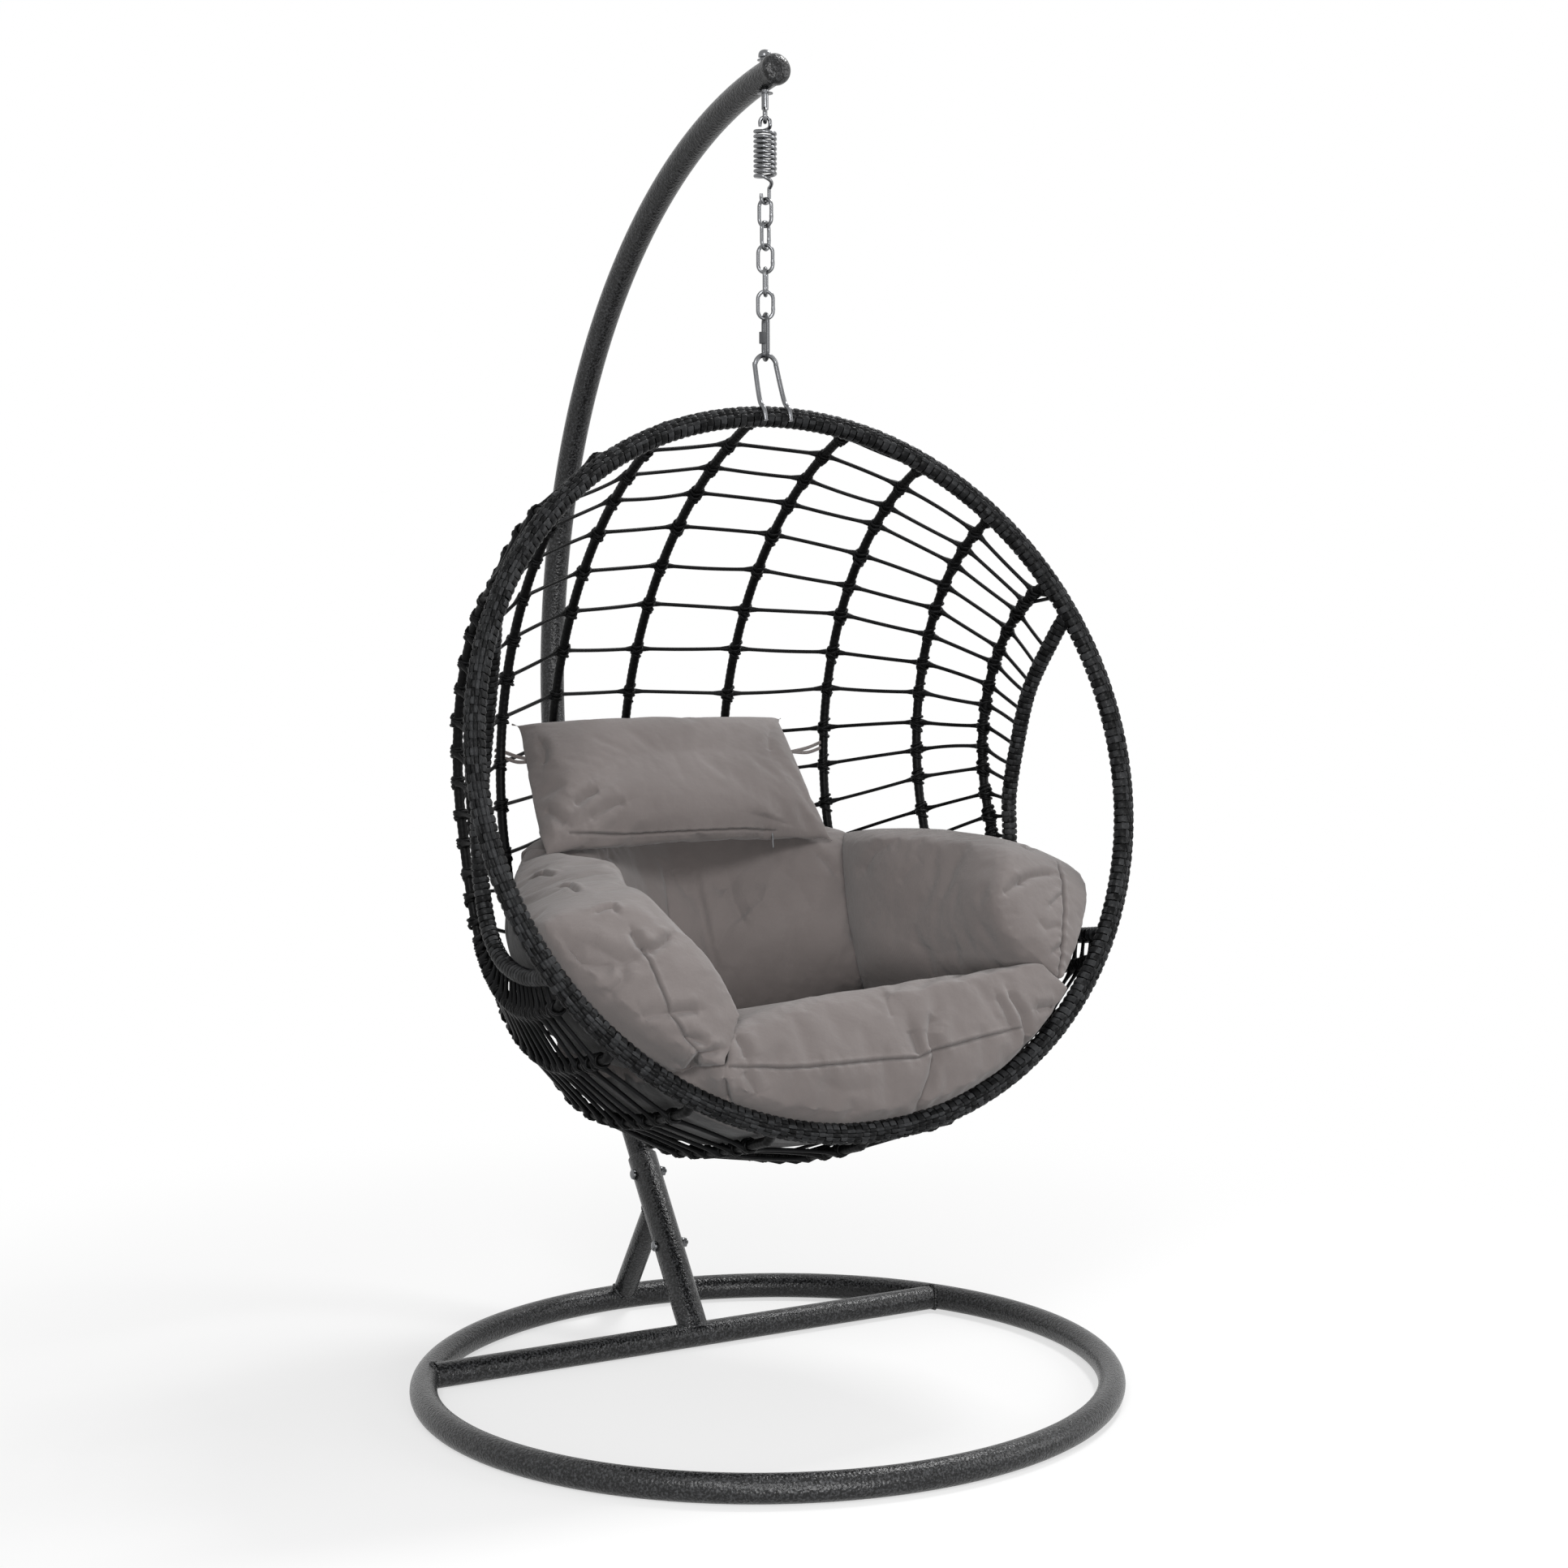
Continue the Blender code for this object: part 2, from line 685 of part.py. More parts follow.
quick_reach = (quick_width - quick_wire) / 2
sleeve_centre = quick_turn @ Vector((quick_reach, 0, 0))
sleeve_holder = empty("quick_sleeve_pivot", sleeve_centre - quick_pivot, quick_holder)
sleeve_place = Matrix.Translation(sleeve_centre - Vector((0, 0, sleeve_length / 2)))
add("quick_link_sleeve",
    hex_nut(sleeve_flats, sleeve_length, quick_wire + 4 * clearance, sleeve_place),
    zinc, sleeve_holder, sleeve_centre)

# ---- Basket ------------------------------------------------------------------------------------

quick_bottom = quick_top - quick_length + quick_wire
loop_arch = quick_bottom + hang_play + loop_wire / 2
basket_pivot = hang_line + Vector((0, 0, loop_arch))
basket = empty("basket_pivot", basket_pivot - quick_pivot, quick_holder)

hoop_up = Vector((0.0, sin(radians(hoop_lean)), cos(radians(hoop_lean))))
hoop_normal = Vector((0.0, cos(radians(hoop_lean)), -sin(radians(hoop_lean))))
hoop_centre = Vector((0.0, hoop_back, hoop_height))


def from_hoop(across, up, back):
    """A place given across, up the hoop's plane and behind it."""
    return hoop_centre + Vector((across, 0, 0)) + hoop_up * up + hoop_normal * back


hoop_place = Matrix.Translation(hoop_centre) @ Matrix.Rotation(radians(90 - hoop_lean), 4, "X")
hoop_mesh = ring_mesh(hoop_radius, hoop_tube, hoop_steps, hoop_sides, hoop_place)
add("hoop", hoop_mesh, rattan, basket, basket_pivot)
root_section = hoop_tube + 2 * root_clearance
hoop_cutter = hidden(
    "hoop_cutter",
    ring_mesh(hoop_radius, root_section, hoop_steps, hoop_sides, hoop_place, flat_down=True),
    stand,
)


def basket_piece(name, data, look=rattan):
    return add(name, data, look, basket, basket_pivot)


loop_shoulder = loop_arch - loop_top_half
loop_points = [from_hoop(-loop_foot_half, hoop_radius, -loop_foot_front)]
for index in range(11):
    sweep = pi - pi * index / 10
    loop_points.append(hang_line + Vector((loop_top_half * cos(sweep), 0,
                                           loop_shoulder + loop_top_half * sin(sweep))))
loop_points.append(from_hoop(loop_foot_half, hoop_radius, -loop_foot_front))
boolean(basket_piece("basket_loop", mesh_of(tube(loop_points, loop_wire, 10)), zinc), hoop_cutter)


focus = hoop_centre.copy()


def with_hoop(place):
    """A place drawn for the drawn hoop, moved out or in with the hoop's real size."""
    place = Vector(place)
    return place + (place - focus) * (hoop_growth - 1)


def bowl_reach(across):
    """How far behind the hoop's plane the bowl reaches at a distance from the middle."""
    share = min(abs(across) / bowl_half_width, 0.9999)
    return bowl_depth * (1 - share ** bowl_plan_power) ** (1 / bowl_plan_power)


def rib_curve(top_across, mid_across, foot_across, count):
    """A rib's centre line from the hoop's top side to its foot side, at equal steps."""
    depth = bowl_reach(mid_across)
    points = []
    for index in range(401):
        t = pi * index / 400
        upper = t <= pi / 2
        power = bowl_upper_power if upper else bowl_lower_power
        end_across = top_across if upper else foot_across
        across = end_across + (mid_across - end_across) * sin(t)
        back = depth * max(sin(t), 0.0) ** (2 / power)
        stand_off = rib_stand * min(1.0, back / rib_root)
        rise = sqrt(hoop_radius ** 2 - end_across ** 2) + stand_off
        up = rise * abs(cos(t)) ** (2 / power)
        points.append(from_hoop(across, up if upper else -up, back))
    return resample(points, count)


def on_hoop(angle, side=1):
    return from_hoop(side * hoop_radius * sin(radians(angle)), hoop_radius * cos(radians(angle)), 0)


def smooth_route(points, count):
    """A rounded route through chosen points, at equal steps."""
    spots = [Vector(point) for point in points]
    spots = [spots[0] * 2 - spots[1]] + spots + [spots[-1] * 2 - spots[-2]]
    route = []
    for index in range(1, len(spots) - 2):
        before, start, end, after = spots[index - 1:index + 3]
        for step in range(12):
            t = step / 12
            route.append(
                0.5 * (2 * start + (end - before) * t
                       + (2 * before - 5 * start + 4 * end - after) * t ** 2
                       + (3 * start - before - 3 * end + after) * t ** 3)
            )
    route.append(spots[-2])
    return resample(route, count)


def side_bar_curve(side, count):
    route = [on_hoop(bar_top_angle, side)]
    route += [with_hoop((side * x, y, z)) for x, y, z in bar_route]
    route.append(on_hoop(bar_foot_angle, side))
    return smooth_route(route, count)


for side, word in ((-1, "left"), (1, "right")):
    bar_mesh = mesh_of(tube(side_bar_curve(side, 20), side_bar_tube, 8))
    boolean(basket_piece(f"side_bar_{word}", bar_mesh), hoop_cutter)

rib_columns = []
for order in range(-4, 5):
    side = -1 if order < 0 else 1
    place = abs(order)
    top_across = side * hoop_radius * sin(radians(rib_top_angles[place]))
    foot_across = side * hoop_radius * sin(radians(rib_foot_angles[place]))
    mid_across = side * rib_half_widths[place]
    rib_columns.append((top_across, mid_across, foot_across))
    rib_mesh = mesh_of(tube(rib_curve(*rib_columns[-1], rib_steps), rib_tube, 6))
    boolean(basket_piece(f"rib_{order + 5}", rib_mesh), hoop_cutter)


def net_column(points):
    """Points at the net's rows, short of the hoop at both ends."""
    route = resample(points, 400)
    length = np.linalg.norm(np.diff(route, axis=0), axis=1).sum()
    first = int(400 * net_start / length)
    return resample(route[first:400 - first], net_rows + 1)


columns = [net_column(rib_curve(*column, rib_steps)) for column in rib_columns]
for side in (-1, 1):
    beside = columns[0] if side < 0 else columns[-1]
    bar = side_bar_curve(side, 400)
    hoop_part = [on_hoop(angle, side) for angle in np.linspace(60, bar_top_angle, 30)]
    edge = np.array([*hoop_part, *bar])
    column = []
    for point in beside:
        nearest = edge[np.argmin(np.linalg.norm(edge - point, axis=1))]
        way = point - nearest
        gap = np.linalg.norm(way)
        inset = side_bar_tube / 2 + net_thickness + net_edge_gap
        column.append(nearest + way / gap * min(inset, 0.9 * gap))
    columns = [np.array(column)] + columns if side < 0 else columns + [np.array(column)]
grid = np.array(columns)

down = np.gradient(grid, axis=1)
across = np.gradient(grid, axis=0)
normals = np.cross(across, down)
normals /= np.linalg.norm(normals, axis=2, keepdims=True)
inside = np.array(focus)
normals *= np.sign(((inside - grid) * normals).sum(axis=2, keepdims=True))
inset = rib_tube / 2 + net_rib_gap
net_skin = grid + normals * inset


def net_panel(index):
    """The skin between two neighbouring ribs, short of both by net_panel_gap; narrow ends are left off."""
    left, right = net_skin[index], net_skin[index + 1]
    widths = np.linalg.norm(grid[index] - grid[index + 1], axis=1)
    outer_strip = index in (0, len(columns) - 2)
    work = bmesh.new()
    pairs = []
    for row in range(net_rows + 1):
        way = (right[row] - left[row]) / max(widths[row], net_least_width) * net_panel_gap
        pairs.append((work.verts.new(left[row] + way), work.verts.new(right[row] - way)))
    for row in range(net_rows):
        if outer_strip and min(widths[row:row + 2]) < net_least_width:
            continue
        work.faces.new((pairs[row][0], pairs[row][1], pairs[row + 1][1], pairs[row + 1][0]))
    loose = [spot for spot in work.verts if not spot.link_faces]
    bmesh.ops.delete(work, geom=loose, context="VERTS")
    for face in work.faces:
        face.normal_update()
    outward = sum((face.calc_center_median() - focus).dot(face.normal) for face in work.faces)
    if outward < 0:
        bmesh.ops.reverse_faces(work, faces=work.faces)
    mesh = bpy.data.meshes.new("net_panel")
    work.to_mesh(mesh)
    work.free()
    mesh.shade_smooth()
    return mesh


for index in range(len(columns) - 1):
    panel = basket_piece(f"net_panel_{index + 1}", net_panel(index))
    skin = panel.modifiers.new("skin", "SOLIDIFY")
    skin.thickness = net_thickness
    skin.offset = -1.0
    skin.use_rim = True

# ---- Cushions ----------------------------------------------------------------------------------

def inside_bowl(point):
    local = point - hoop_centre
    back = max(local.dot(hoop_normal), 0.0)
    up = local.dot(hoop_up)
    if abs(local.x) >= hoop_radius * 0.999:
        return False
    rise = sqrt(hoop_radius ** 2 - local.x ** 2) + rib_stand * min(1.0, back / rib_root)
    power = bowl_upper_power if up > 0 else bowl_lower_power
    return (abs(up) / rise) ** power + (back / bowl_reach(local.x)) ** power < 1


def bowl_distance(way):
    """How far the bowl is from the focus in a direction."""
    near, far = 0.0, 1.0
    for _ in range(24):
        middle = (near + far) / 2
        if inside_bowl(focus + way * middle):
            near = middle
        else:
            far = middle
    return near


def weights(u):
    """Weights of the three control points at -1, 0 and 1."""
    return (u * (u - 1) / 2, 1 - u * u, u * (u + 1) / 2)


def edge_share(mark, edges, thickness):
    """The share of the full thickness left this far towards the first or the second edge."""
    first, last, shoulder = edges
    edge = first if mark < 0 else last
    return 1 - (1 - edge / thickness) * abs(mark) ** shoulder


def lobe(name, controls, thickness, sides, ends, gap, tuft=0.0):
    """One stuffed section that lies on the bowl: a patch seen from the focus, with a crown.

    controls holds three rows of three places; neighbours share a row or a column. sides are the
    edge thicknesses at the first and last column and how late the edge begins to thin, and ends
    those at the first and last row."""
    cells = 6
    marks = [-1 + 2 * index / cells for index in range(cells + 1)]

    def way_at(u, w):
        place = Vector((0, 0, 0))
        for share_w, row in zip(weights(w), controls):
            for share_u, spot in zip(weights(u), row):
                place += Vector(spot) * share_u * share_w
        return (place - focus).normalized()

    def spot_at(u, w, depth):
        draw_u = u * lobe_fill * (1 - lobe_pull * (1 - w * w) * abs(u) ** 3)
        draw_w = w * lobe_fill * (1 - lobe_pull * (1 - u * u) * abs(w) ** 3)
        way = way_at(draw_u, draw_w)
        reach = bowl_distance(way) - gap
        crown = edge_share(u, sides, thickness) * edge_share(w, ends, thickness)
        dent = tuft * max(0.0, 1 - (u * u + w * w) / 0.2)
        inner = reach - thickness * crown + dent
        belly = lobe_belly * (1 - crown)
        return focus + way * (inner + (reach - belly - inner) * depth)

    work = bmesh.new()
    top = [[work.verts.new(spot_at(u, w, 0.0)) for u in marks] for w in marks]
    bottom = [[work.verts.new(spot_at(u, w, 1.0)) for u in marks] for w in marks]
    for row in range(cells):
        for column in range(cells):
            work.faces.new((top[row][column], top[row][column + 1],
                            top[row + 1][column + 1], top[row + 1][column]))
            work.faces.new((bottom[row][column], bottom[row + 1][column],
                            bottom[row + 1][column + 1], bottom[row][column + 1]))

    def rim(grid_spots):
        last = cells
        return ([grid_spots[0][i] for i in range(last)]
                + [grid_spots[i][last] for i in range(last)]
                + [grid_spots[last][last - i] for i in range(last)]
                + [grid_spots[last - i][0] for i in range(last)])

    upper = rim(top)
    lower = rim(bottom)
    for index in range(len(upper)):
        work.faces.new((upper[index - 1], lower[index - 1], lower[index], upper[index]))
    bmesh.ops.recalc_face_normals(work, faces=work.faces)
    mesh = bpy.data.meshes.new(name)
    work.to_mesh(mesh)
    work.free()
    mesh.shade_smooth()
    thing = basket_piece(name, mesh, canvas)
    soften = thing.modifiers.new("soften", "SUBSURF")
    soften.levels = 1
    soften.render_levels = 1
    return thing


def mirrored(place):
    return (-place[0], place[1], place[2])


back_top = (0.262, 0.23, 0.80)
back_side = (0.262, 0.21, 0.68)
back_low = (0.25, 0.15, 0.55)
right_arm_low = (0.315, -0.04, 0.54)
right_foot = (0.388, -0.294, 0.56)
left_arm_low = (-0.28, -0.05, 0.545)
left_foot = (-0.255, -0.318, 0.50)

lobe("cushion_back", (
    (mirrored(back_top), (0.0, 0.35, 0.835), back_top),
    (mirrored(back_side), (0.0, 0.30, 0.66), back_side),
    (mirrored(back_low), (0.0, 0.20, 0.52), back_low),
), back_thickness, back_sides, back_ends, cushion_gap, back_tuft)

lobe("cushion_arm_right", (
    (back_top, (0.40, 0.04, 0.785), (0.425, -0.165, 0.785)),
    (back_side, (0.39, 0.02, 0.68), (0.425, -0.228, 0.69)),
    (back_low, right_arm_low, right_foot),
), arm_thickness, right_arm_sides, arm_ends, arm_gap)

lobe("cushion_arm_left", (
    ((-0.42, -0.175, 0.745), (-0.40, 0.04, 0.735), mirrored(back_top)),
    ((-0.40, -0.262, 0.62), (-0.38, 0.01, 0.65), mirrored(back_side)),
    (left_foot, left_arm_low, mirrored(back_low)),
), arm_thickness, left_arm_sides, arm_ends, arm_gap)

lobe("cushion_seat", (
    (mirrored(back_low), (0.0, 0.20, 0.52), back_low),
    (left_arm_low, (0.0, -0.03, 0.50), right_arm_low),
    (left_foot, (0.04, -0.325, 0.455), right_foot),
), seat_thickness, seat_sides, seat_ends, seat_gap)


def pillow_mesh():
    """A stuffed pillow: crowned faces, drawn-in sides and pointed corners."""
    across_cells, up_cells = 8, 5
    place = (Matrix.Translation(with_hoop(pillow_centre))
             @ Matrix.Rotation(radians(90 - pillow_lean), 4, "X"))
    work = bmesh.new()
    front, back = {}, {}
    for i in range(across_cells + 1):
        for j in range(up_cells + 1):
            u = -1 + 2 * i / across_cells
            w = -1 + 2 * j / up_cells
            x = u * pillow_half_width * (1 - 0.05 * (1 - w * w))
            z = w * pillow_half_height * (1 - 0.07 * (1 - u * u))
            crown = sqrt(max(0.0, (1 - u ** 4) * (1 - w ** 4)))
            edge_spot = i in (0, across_cells) or j in (0, up_cells)
            front[i, j] = work.verts.new(place @ Vector((x, z, pillow_crown * crown)))
            if edge_spot:
                back[i, j] = front[i, j]
            else:
                back[i, j] = work.verts.new(place @ Vector((x, z, -pillow_back_crown * crown)))
    for i in range(across_cells):
        for j in range(up_cells):
            ring = ((i, j), (i + 1, j), (i + 1, j + 1), (i, j + 1))
            work.faces.new([front[key] for key in ring])
            work.faces.new([back[key] for key in reversed(ring)])
    mesh = bpy.data.meshes.new("pillow")
    work.to_mesh(mesh)
    work.free()
    mesh.shade_smooth()
    return mesh


pillow = basket_piece("head_pillow", pillow_mesh(), canvas)
plump = pillow.modifiers.new("plump", "SUBSURF")
plump.levels = 1
plump.render_levels = 1

for side, word in ((-1, "left"), (1, "right")):
    near = with_hoop((pillow_centre[0] + side * tie_start[0], *tie_start[1:]))
    far = with_hoop((pillow_centre[0] + side * tie_end[0], *tie_end[1:]))
    middle = (near + far) / 2 - Vector((0, 0, tie_sag))
    tie_route = smooth_route([near, middle, far], 7)
    basket_piece(f"pillow_tie_{word}", tube(tie_route, tie_diameter, 8), canvas)
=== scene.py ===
from math import acos, atan2, cos, exp, pi, radians, sin, sqrt

import bmesh
import bpy
import numpy as np
from mathutils import Matrix, Vector
from mathutils.bvhtree import BVHTree


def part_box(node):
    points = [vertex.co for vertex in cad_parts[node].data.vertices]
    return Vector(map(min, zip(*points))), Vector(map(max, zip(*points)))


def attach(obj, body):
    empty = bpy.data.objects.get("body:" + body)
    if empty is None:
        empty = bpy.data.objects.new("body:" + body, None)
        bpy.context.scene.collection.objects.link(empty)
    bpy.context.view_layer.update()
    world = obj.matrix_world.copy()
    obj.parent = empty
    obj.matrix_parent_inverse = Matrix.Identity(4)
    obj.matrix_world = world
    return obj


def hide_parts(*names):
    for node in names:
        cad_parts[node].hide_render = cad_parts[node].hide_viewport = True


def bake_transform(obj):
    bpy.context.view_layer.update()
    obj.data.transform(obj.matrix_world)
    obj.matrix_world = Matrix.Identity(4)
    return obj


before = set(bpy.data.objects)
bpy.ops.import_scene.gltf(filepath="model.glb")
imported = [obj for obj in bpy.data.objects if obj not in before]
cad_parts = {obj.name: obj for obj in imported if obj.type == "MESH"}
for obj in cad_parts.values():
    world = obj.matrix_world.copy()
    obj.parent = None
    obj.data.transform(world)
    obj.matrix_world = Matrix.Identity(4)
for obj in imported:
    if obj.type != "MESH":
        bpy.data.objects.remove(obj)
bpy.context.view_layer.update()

scene = bpy.context.scene
ringLow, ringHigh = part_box("base_ring")
ringBack = (ringLow.y + ringHigh.y) / 2  # the ring's centre, which the sizes below are measured from
rng = np.random.default_rng(7)


class Wire:
    # a socket that adds Math nodes when it is used in a sum
    def __init__(self, look, socket):
        self.look, self.socket = look, socket

    def __add__(self, other):
        return self.look.sum("ADD", self, other)

    def __sub__(self, other):
        return self.look.sum("SUBTRACT", self, other)

    def __rsub__(self, other):
        return self.look.sum("SUBTRACT", other, self)

    def __mul__(self, other):
        return self.look.sum("MULTIPLY", self, other)

    def __pow__(self, other):
        return self.look.sum("POWER", self, other)

    __radd__ = __add__
    __rmul__ = __mul__


class Look:
    # the nodes of a material or of the world
    def __init__(self, owner):
        owner.use_nodes = True
        self.owner, self.tree = owner, owner.node_tree

    def node(self, kind, settings=None, sockets=None, out=0):
        made = self.tree.nodes.new(kind)
        for key, value in (settings or {}).items():
            if key == "stops":
                for stop, (place, grey) in zip(made.color_ramp.elements, value):
                    stop.position, stop.color = place, (grey, grey, grey, 1.0)
            else:
                setattr(made, key, value)
        for key, value in (sockets or {}).items():
            self.feed(made.inputs[key], value)
        return Wire(self, made.outputs[out])

    def feed(self, socket, value):
        if isinstance(value, Wire):
            self.tree.links.new(value.socket, socket)
        else:
            socket.default_value = (*value, 1.0) if socket.type == "RGBA" else value

    def wear(self, **sockets):
        shader = self.tree.nodes.get("Principled BSDF") or self.tree.nodes["Background"]
        for key, value in sockets.items():
            self.feed(shader.inputs[key.replace("_", " ")], value)
        return self.owner

    def sum(self, operation, a, b):
        return self.node("ShaderNodeMath", {"operation": operation}, {0: a, 1: b})

    def mix(self, factor, a, b):
        return self.node("ShaderNodeMix", {"data_type": "RGBA"}, {0: factor, 6: a, 7: b}, out=2)

    def ramp(self, value, low, high):
        return self.node("ShaderNodeValToRGB", {"stops": [(low, 0.0), (high, 1.0)]}, {"Fac": value})

    def layer(self, name):
        return self.node("ShaderNodeAttribute", {"attribute_name": name}, out="Fac")

    def place(self):
        return self.node("ShaderNodeTexCoord", out="Object")

    def ray(self, kind):
        return self.node("ShaderNodeLightPath", out=f"Is {kind} Ray")

    def noise(self, scale, detail=2.0, rough=0.5, stretch=None):
        place = self.place()
        if stretch:
            place = self.node("ShaderNodeVectorMath", {"operation": "MULTIPLY"}, {0: place, 1: stretch})
        return self.node("ShaderNodeTexNoise", {}, {"Vector": place, "Scale": scale, "Detail": detail,
                                                    "Roughness": rough}, out="Fac")

    def threads(self, direction, scale):
        return self.node("ShaderNodeTexWave", {"wave_type": "BANDS", "bands_direction": direction},
                         {"Vector": self.place(), "Scale": scale, "Distortion": 0.6, "Detail": 1.0}, out="Fac")

    def bumped(self, height, strength, distance, under=None):
        sockets = {"Height": height, "Strength": strength, "Distance": distance}
        if under:
            sockets["Normal"] = under
        return self.node("ShaderNodeBump", {}, sockets)


# finishes: scales are in waves or cells per metre, bump distances in metres
paint = {"grain": 300.0, "cloud": 9.0, "pits": 260.0, "speckleFrom": 0.46, "speckleTo": 0.66,
         "dark": (0.0030, 0.0031, 0.0034), "light": (0.0055, 0.0056, 0.0060), "speckle": (0.055, 0.056, 0.059),
         "roughness": 0.16, "grainRoughness": 0.22, "specular": 0.32, "bump": 0.45, "bumpDepth": 0.0018}


def hammeredPaint():
    look = Look(bpy.data.materials.new("hammeredPaint"))
    grain = look.noise(paint["grain"], 3.0, 0.65)
    pits = look.node("ShaderNodeTexVoronoi", {"feature": "SMOOTH_F1"},
                     {"Vector": look.place(), "Scale": paint["pits"], "Smoothness": 0.6}, out="Distance")
    base = look.mix(look.noise(paint["cloud"]), paint["dark"], paint["light"])
    speckle = look.ramp(grain, paint["speckleFrom"], paint["speckleTo"])
    return look.wear(Base_Color=look.mix(speckle, base, paint["speckle"]), Specular_IOR_Level=paint["specular"],
                     Roughness=paint["roughness"] + paint["grainRoughness"] * grain,
                     Normal=look.bumped(pits + 0.6 * grain, paint["bump"], paint["bumpDepth"]))


zincFinish = {"cloud": 55.0, "streak": 18.0, "stretch": (1.0, 1.0, 0.15), "dull": 0.62, "streakRoughness": 0.2,
              "bump": 0.15, "bumpDepth": 0.0006}


def zinc(name, tone, roughness):
    look = Look(bpy.data.materials.new(name))
    cloud = look.noise(zincFinish["cloud"], 4.0, 0.6)
    streak = look.noise(zincFinish["streak"], 3.0, stretch=zincFinish["stretch"])
    dull = tuple(part * zincFinish["dull"] for part in tone)
    return look.wear(Base_Color=look.mix(cloud, dull, tone), Metallic=1.0,
                     Roughness=roughness + zincFinish["streakRoughness"] * streak,
                     Normal=look.bumped(cloud, zincFinish["bump"], zincFinish["bumpDepth"]))


cane = {"streak": 420.0, "cloud": 14.0, "toneShare": 0.80, "streakShare": 0.35, "contrast": 2.2,
        "specular": 0.08, "cloudRoughness": 0.25, "bump": 0.25, "bumpDepth": 0.0005}


def rattan(name, dark, light, roughness):
    # each strip or strand has a tone of its own
    look = Look(bpy.data.materials.new(name))
    streak = look.noise(cane["streak"], 2.0, 0.55)
    depth = (cane["toneShare"] * look.layer("tone") + cane["streakShare"] * streak) ** cane["contrast"]
    return look.wear(Base_Color=look.mix(depth, dark, light), Specular_IOR_Level=cane["specular"],
                     Roughness=roughness + cane["cloudRoughness"] * look.noise(cane["cloud"]),
                     Normal=look.bumped(streak, cane["bump"], cane["bumpDepth"]))


# the near-black tone is painted shade for a cushion's back where it lies against the basket
cloth = {"cloud": 5.0, "fibre": 900.0, "threads": 260.0, "cloudFrom": 0.3, "cloudTo": 0.7,
         "dark": (0.158, 0.138, 0.132), "light": (0.198, 0.175, 0.168), "fibreTone": (0.115, 0.098, 0.095),
         "paintedShade": (0.006, 0.006, 0.0065), "seamShade": (0.03, 0.026, 0.025), "seamShadeShare": 0.45,
         "roughness": 0.88, "specular": 0.2, "sheen": 0.25, "sheenRoughness": 0.6,
         "crease": 11.0, "smallCrease": 34.0, "creaseBump": 0.42, "creaseDepth": 0.014,
         "weaveBump": 0.35, "weaveDepth": 0.0006}


def canvas():
    look = Look(bpy.data.materials.new("taupeCanvas"))
    fibre = look.noise(cloth["fibre"], 2.0, 0.6)
    cloud = look.ramp(look.noise(cloth["cloud"], 4.0, 0.6), cloth["cloudFrom"], cloth["cloudTo"])
    tone = look.mix(0.5 * fibre, look.mix(cloud, cloth["dark"], cloth["light"]), cloth["fibreTone"])
    # near-black painted shade where a cushion's back faces the basket
    tone = look.mix(look.layer("paintedShade"), tone, cloth["paintedShade"])
    # painted shade darkens the bottom of each seam groove
    tone = look.mix(cloth["seamShadeShare"] * look.layer("seamShade"), tone, cloth["seamShade"])
    creases = look.noise(cloth["crease"], 3.0, 0.55) + 0.30 * look.noise(cloth["smallCrease"], 3.0, 0.6)
    weave = look.threads("X", cloth["threads"]) * look.threads("Z", cloth["threads"]) + 0.4 * fibre
    return look.wear(Base_Color=tone, Roughness=cloth["roughness"], Specular_IOR_Level=cloth["specular"],
                     Sheen_Weight=cloth["sheen"], Sheen_Roughness=cloth["sheenRoughness"],
                     Normal=look.bumped(weave, cloth["weaveBump"], cloth["weaveDepth"],
                                        look.bumped(creases, cloth["creaseBump"], cloth["creaseDepth"])))


paintLook = hammeredPaint()
zincLook = zinc("brightZinc", (0.20, 0.204, 0.212), 0.16)
darkZincLook = zinc("dullZinc", (0.12, 0.123, 0.128), 0.24)
wrapLook = rattan("rattanWrap", (0.0008, 0.0008, 0.0009), (0.040, 0.041, 0.043), 0.22)
strandLook = rattan("rattanStrand", (0.0009, 0.0009, 0.0010), (0.008, 0.0082, 0.0088), 0.32)
canvasLook = canvas()
print("looks made")


def carried(points, closed):
    # unit tangents and a pair of side directions carried along a route without twist
    if closed:
        tangents = np.roll(points, -1, axis=0) - np.roll(points, 1, axis=0)
    else:
        tangents = np.gradient(points, axis=0)
    tangents /= np.linalg.norm(tangents, axis=1, keepdims=True)
    start = np.array([1.0, 0, 0]) if abs(tangents[0, 0]) < 0.8 else np.array([0, 0, 1.0])
    sides = np.empty_like(points)
    side = start - tangents[0] * start.dot(tangents[0])
    for index, way in enumerate(tangents):
        side = side - way * side.dot(way)
        side /= np.linalg.norm(side)
        sides[index] = side
    return sides, np.cross(tangents, sides)


def swept(points, radius, sides=12, closed=False, flat=1.0):
    # a tube along a route; the radius may differ at each point, and flat squeezes it one way
    points = np.asarray(points, float)
    side, lift = carried(points, closed)
    reach = np.broadcast_to(radius, (len(points),))[:, None, None]
    turn = np.arange(sides) * 2 * pi / sides
    ring = side[:, None] * np.cos(turn)[None, :, None] + flat * lift[:, None] * np.sin(turn)[None, :, None]
    verts = (points[:, None] + reach * ring).reshape(-1, 3)
    count = len(points)
    rows = np.arange(count if closed else count - 1)[:, None]
    cols = np.arange(sides)[None, :]
    after, beside = (rows + 1) % count, (cols + 1) % sides
    quads = np.stack([rows * sides + cols, rows * sides + beside,
                      after * sides + beside, after * sides + cols], axis=-1).reshape(-1, 4)
    faces = [tuple(quad) for quad in quads.tolist()]
    if not closed:
        faces += [tuple(range(sides - 1, -1, -1)), tuple(range((count - 1) * sides, count * sides))]
    return verts, faces


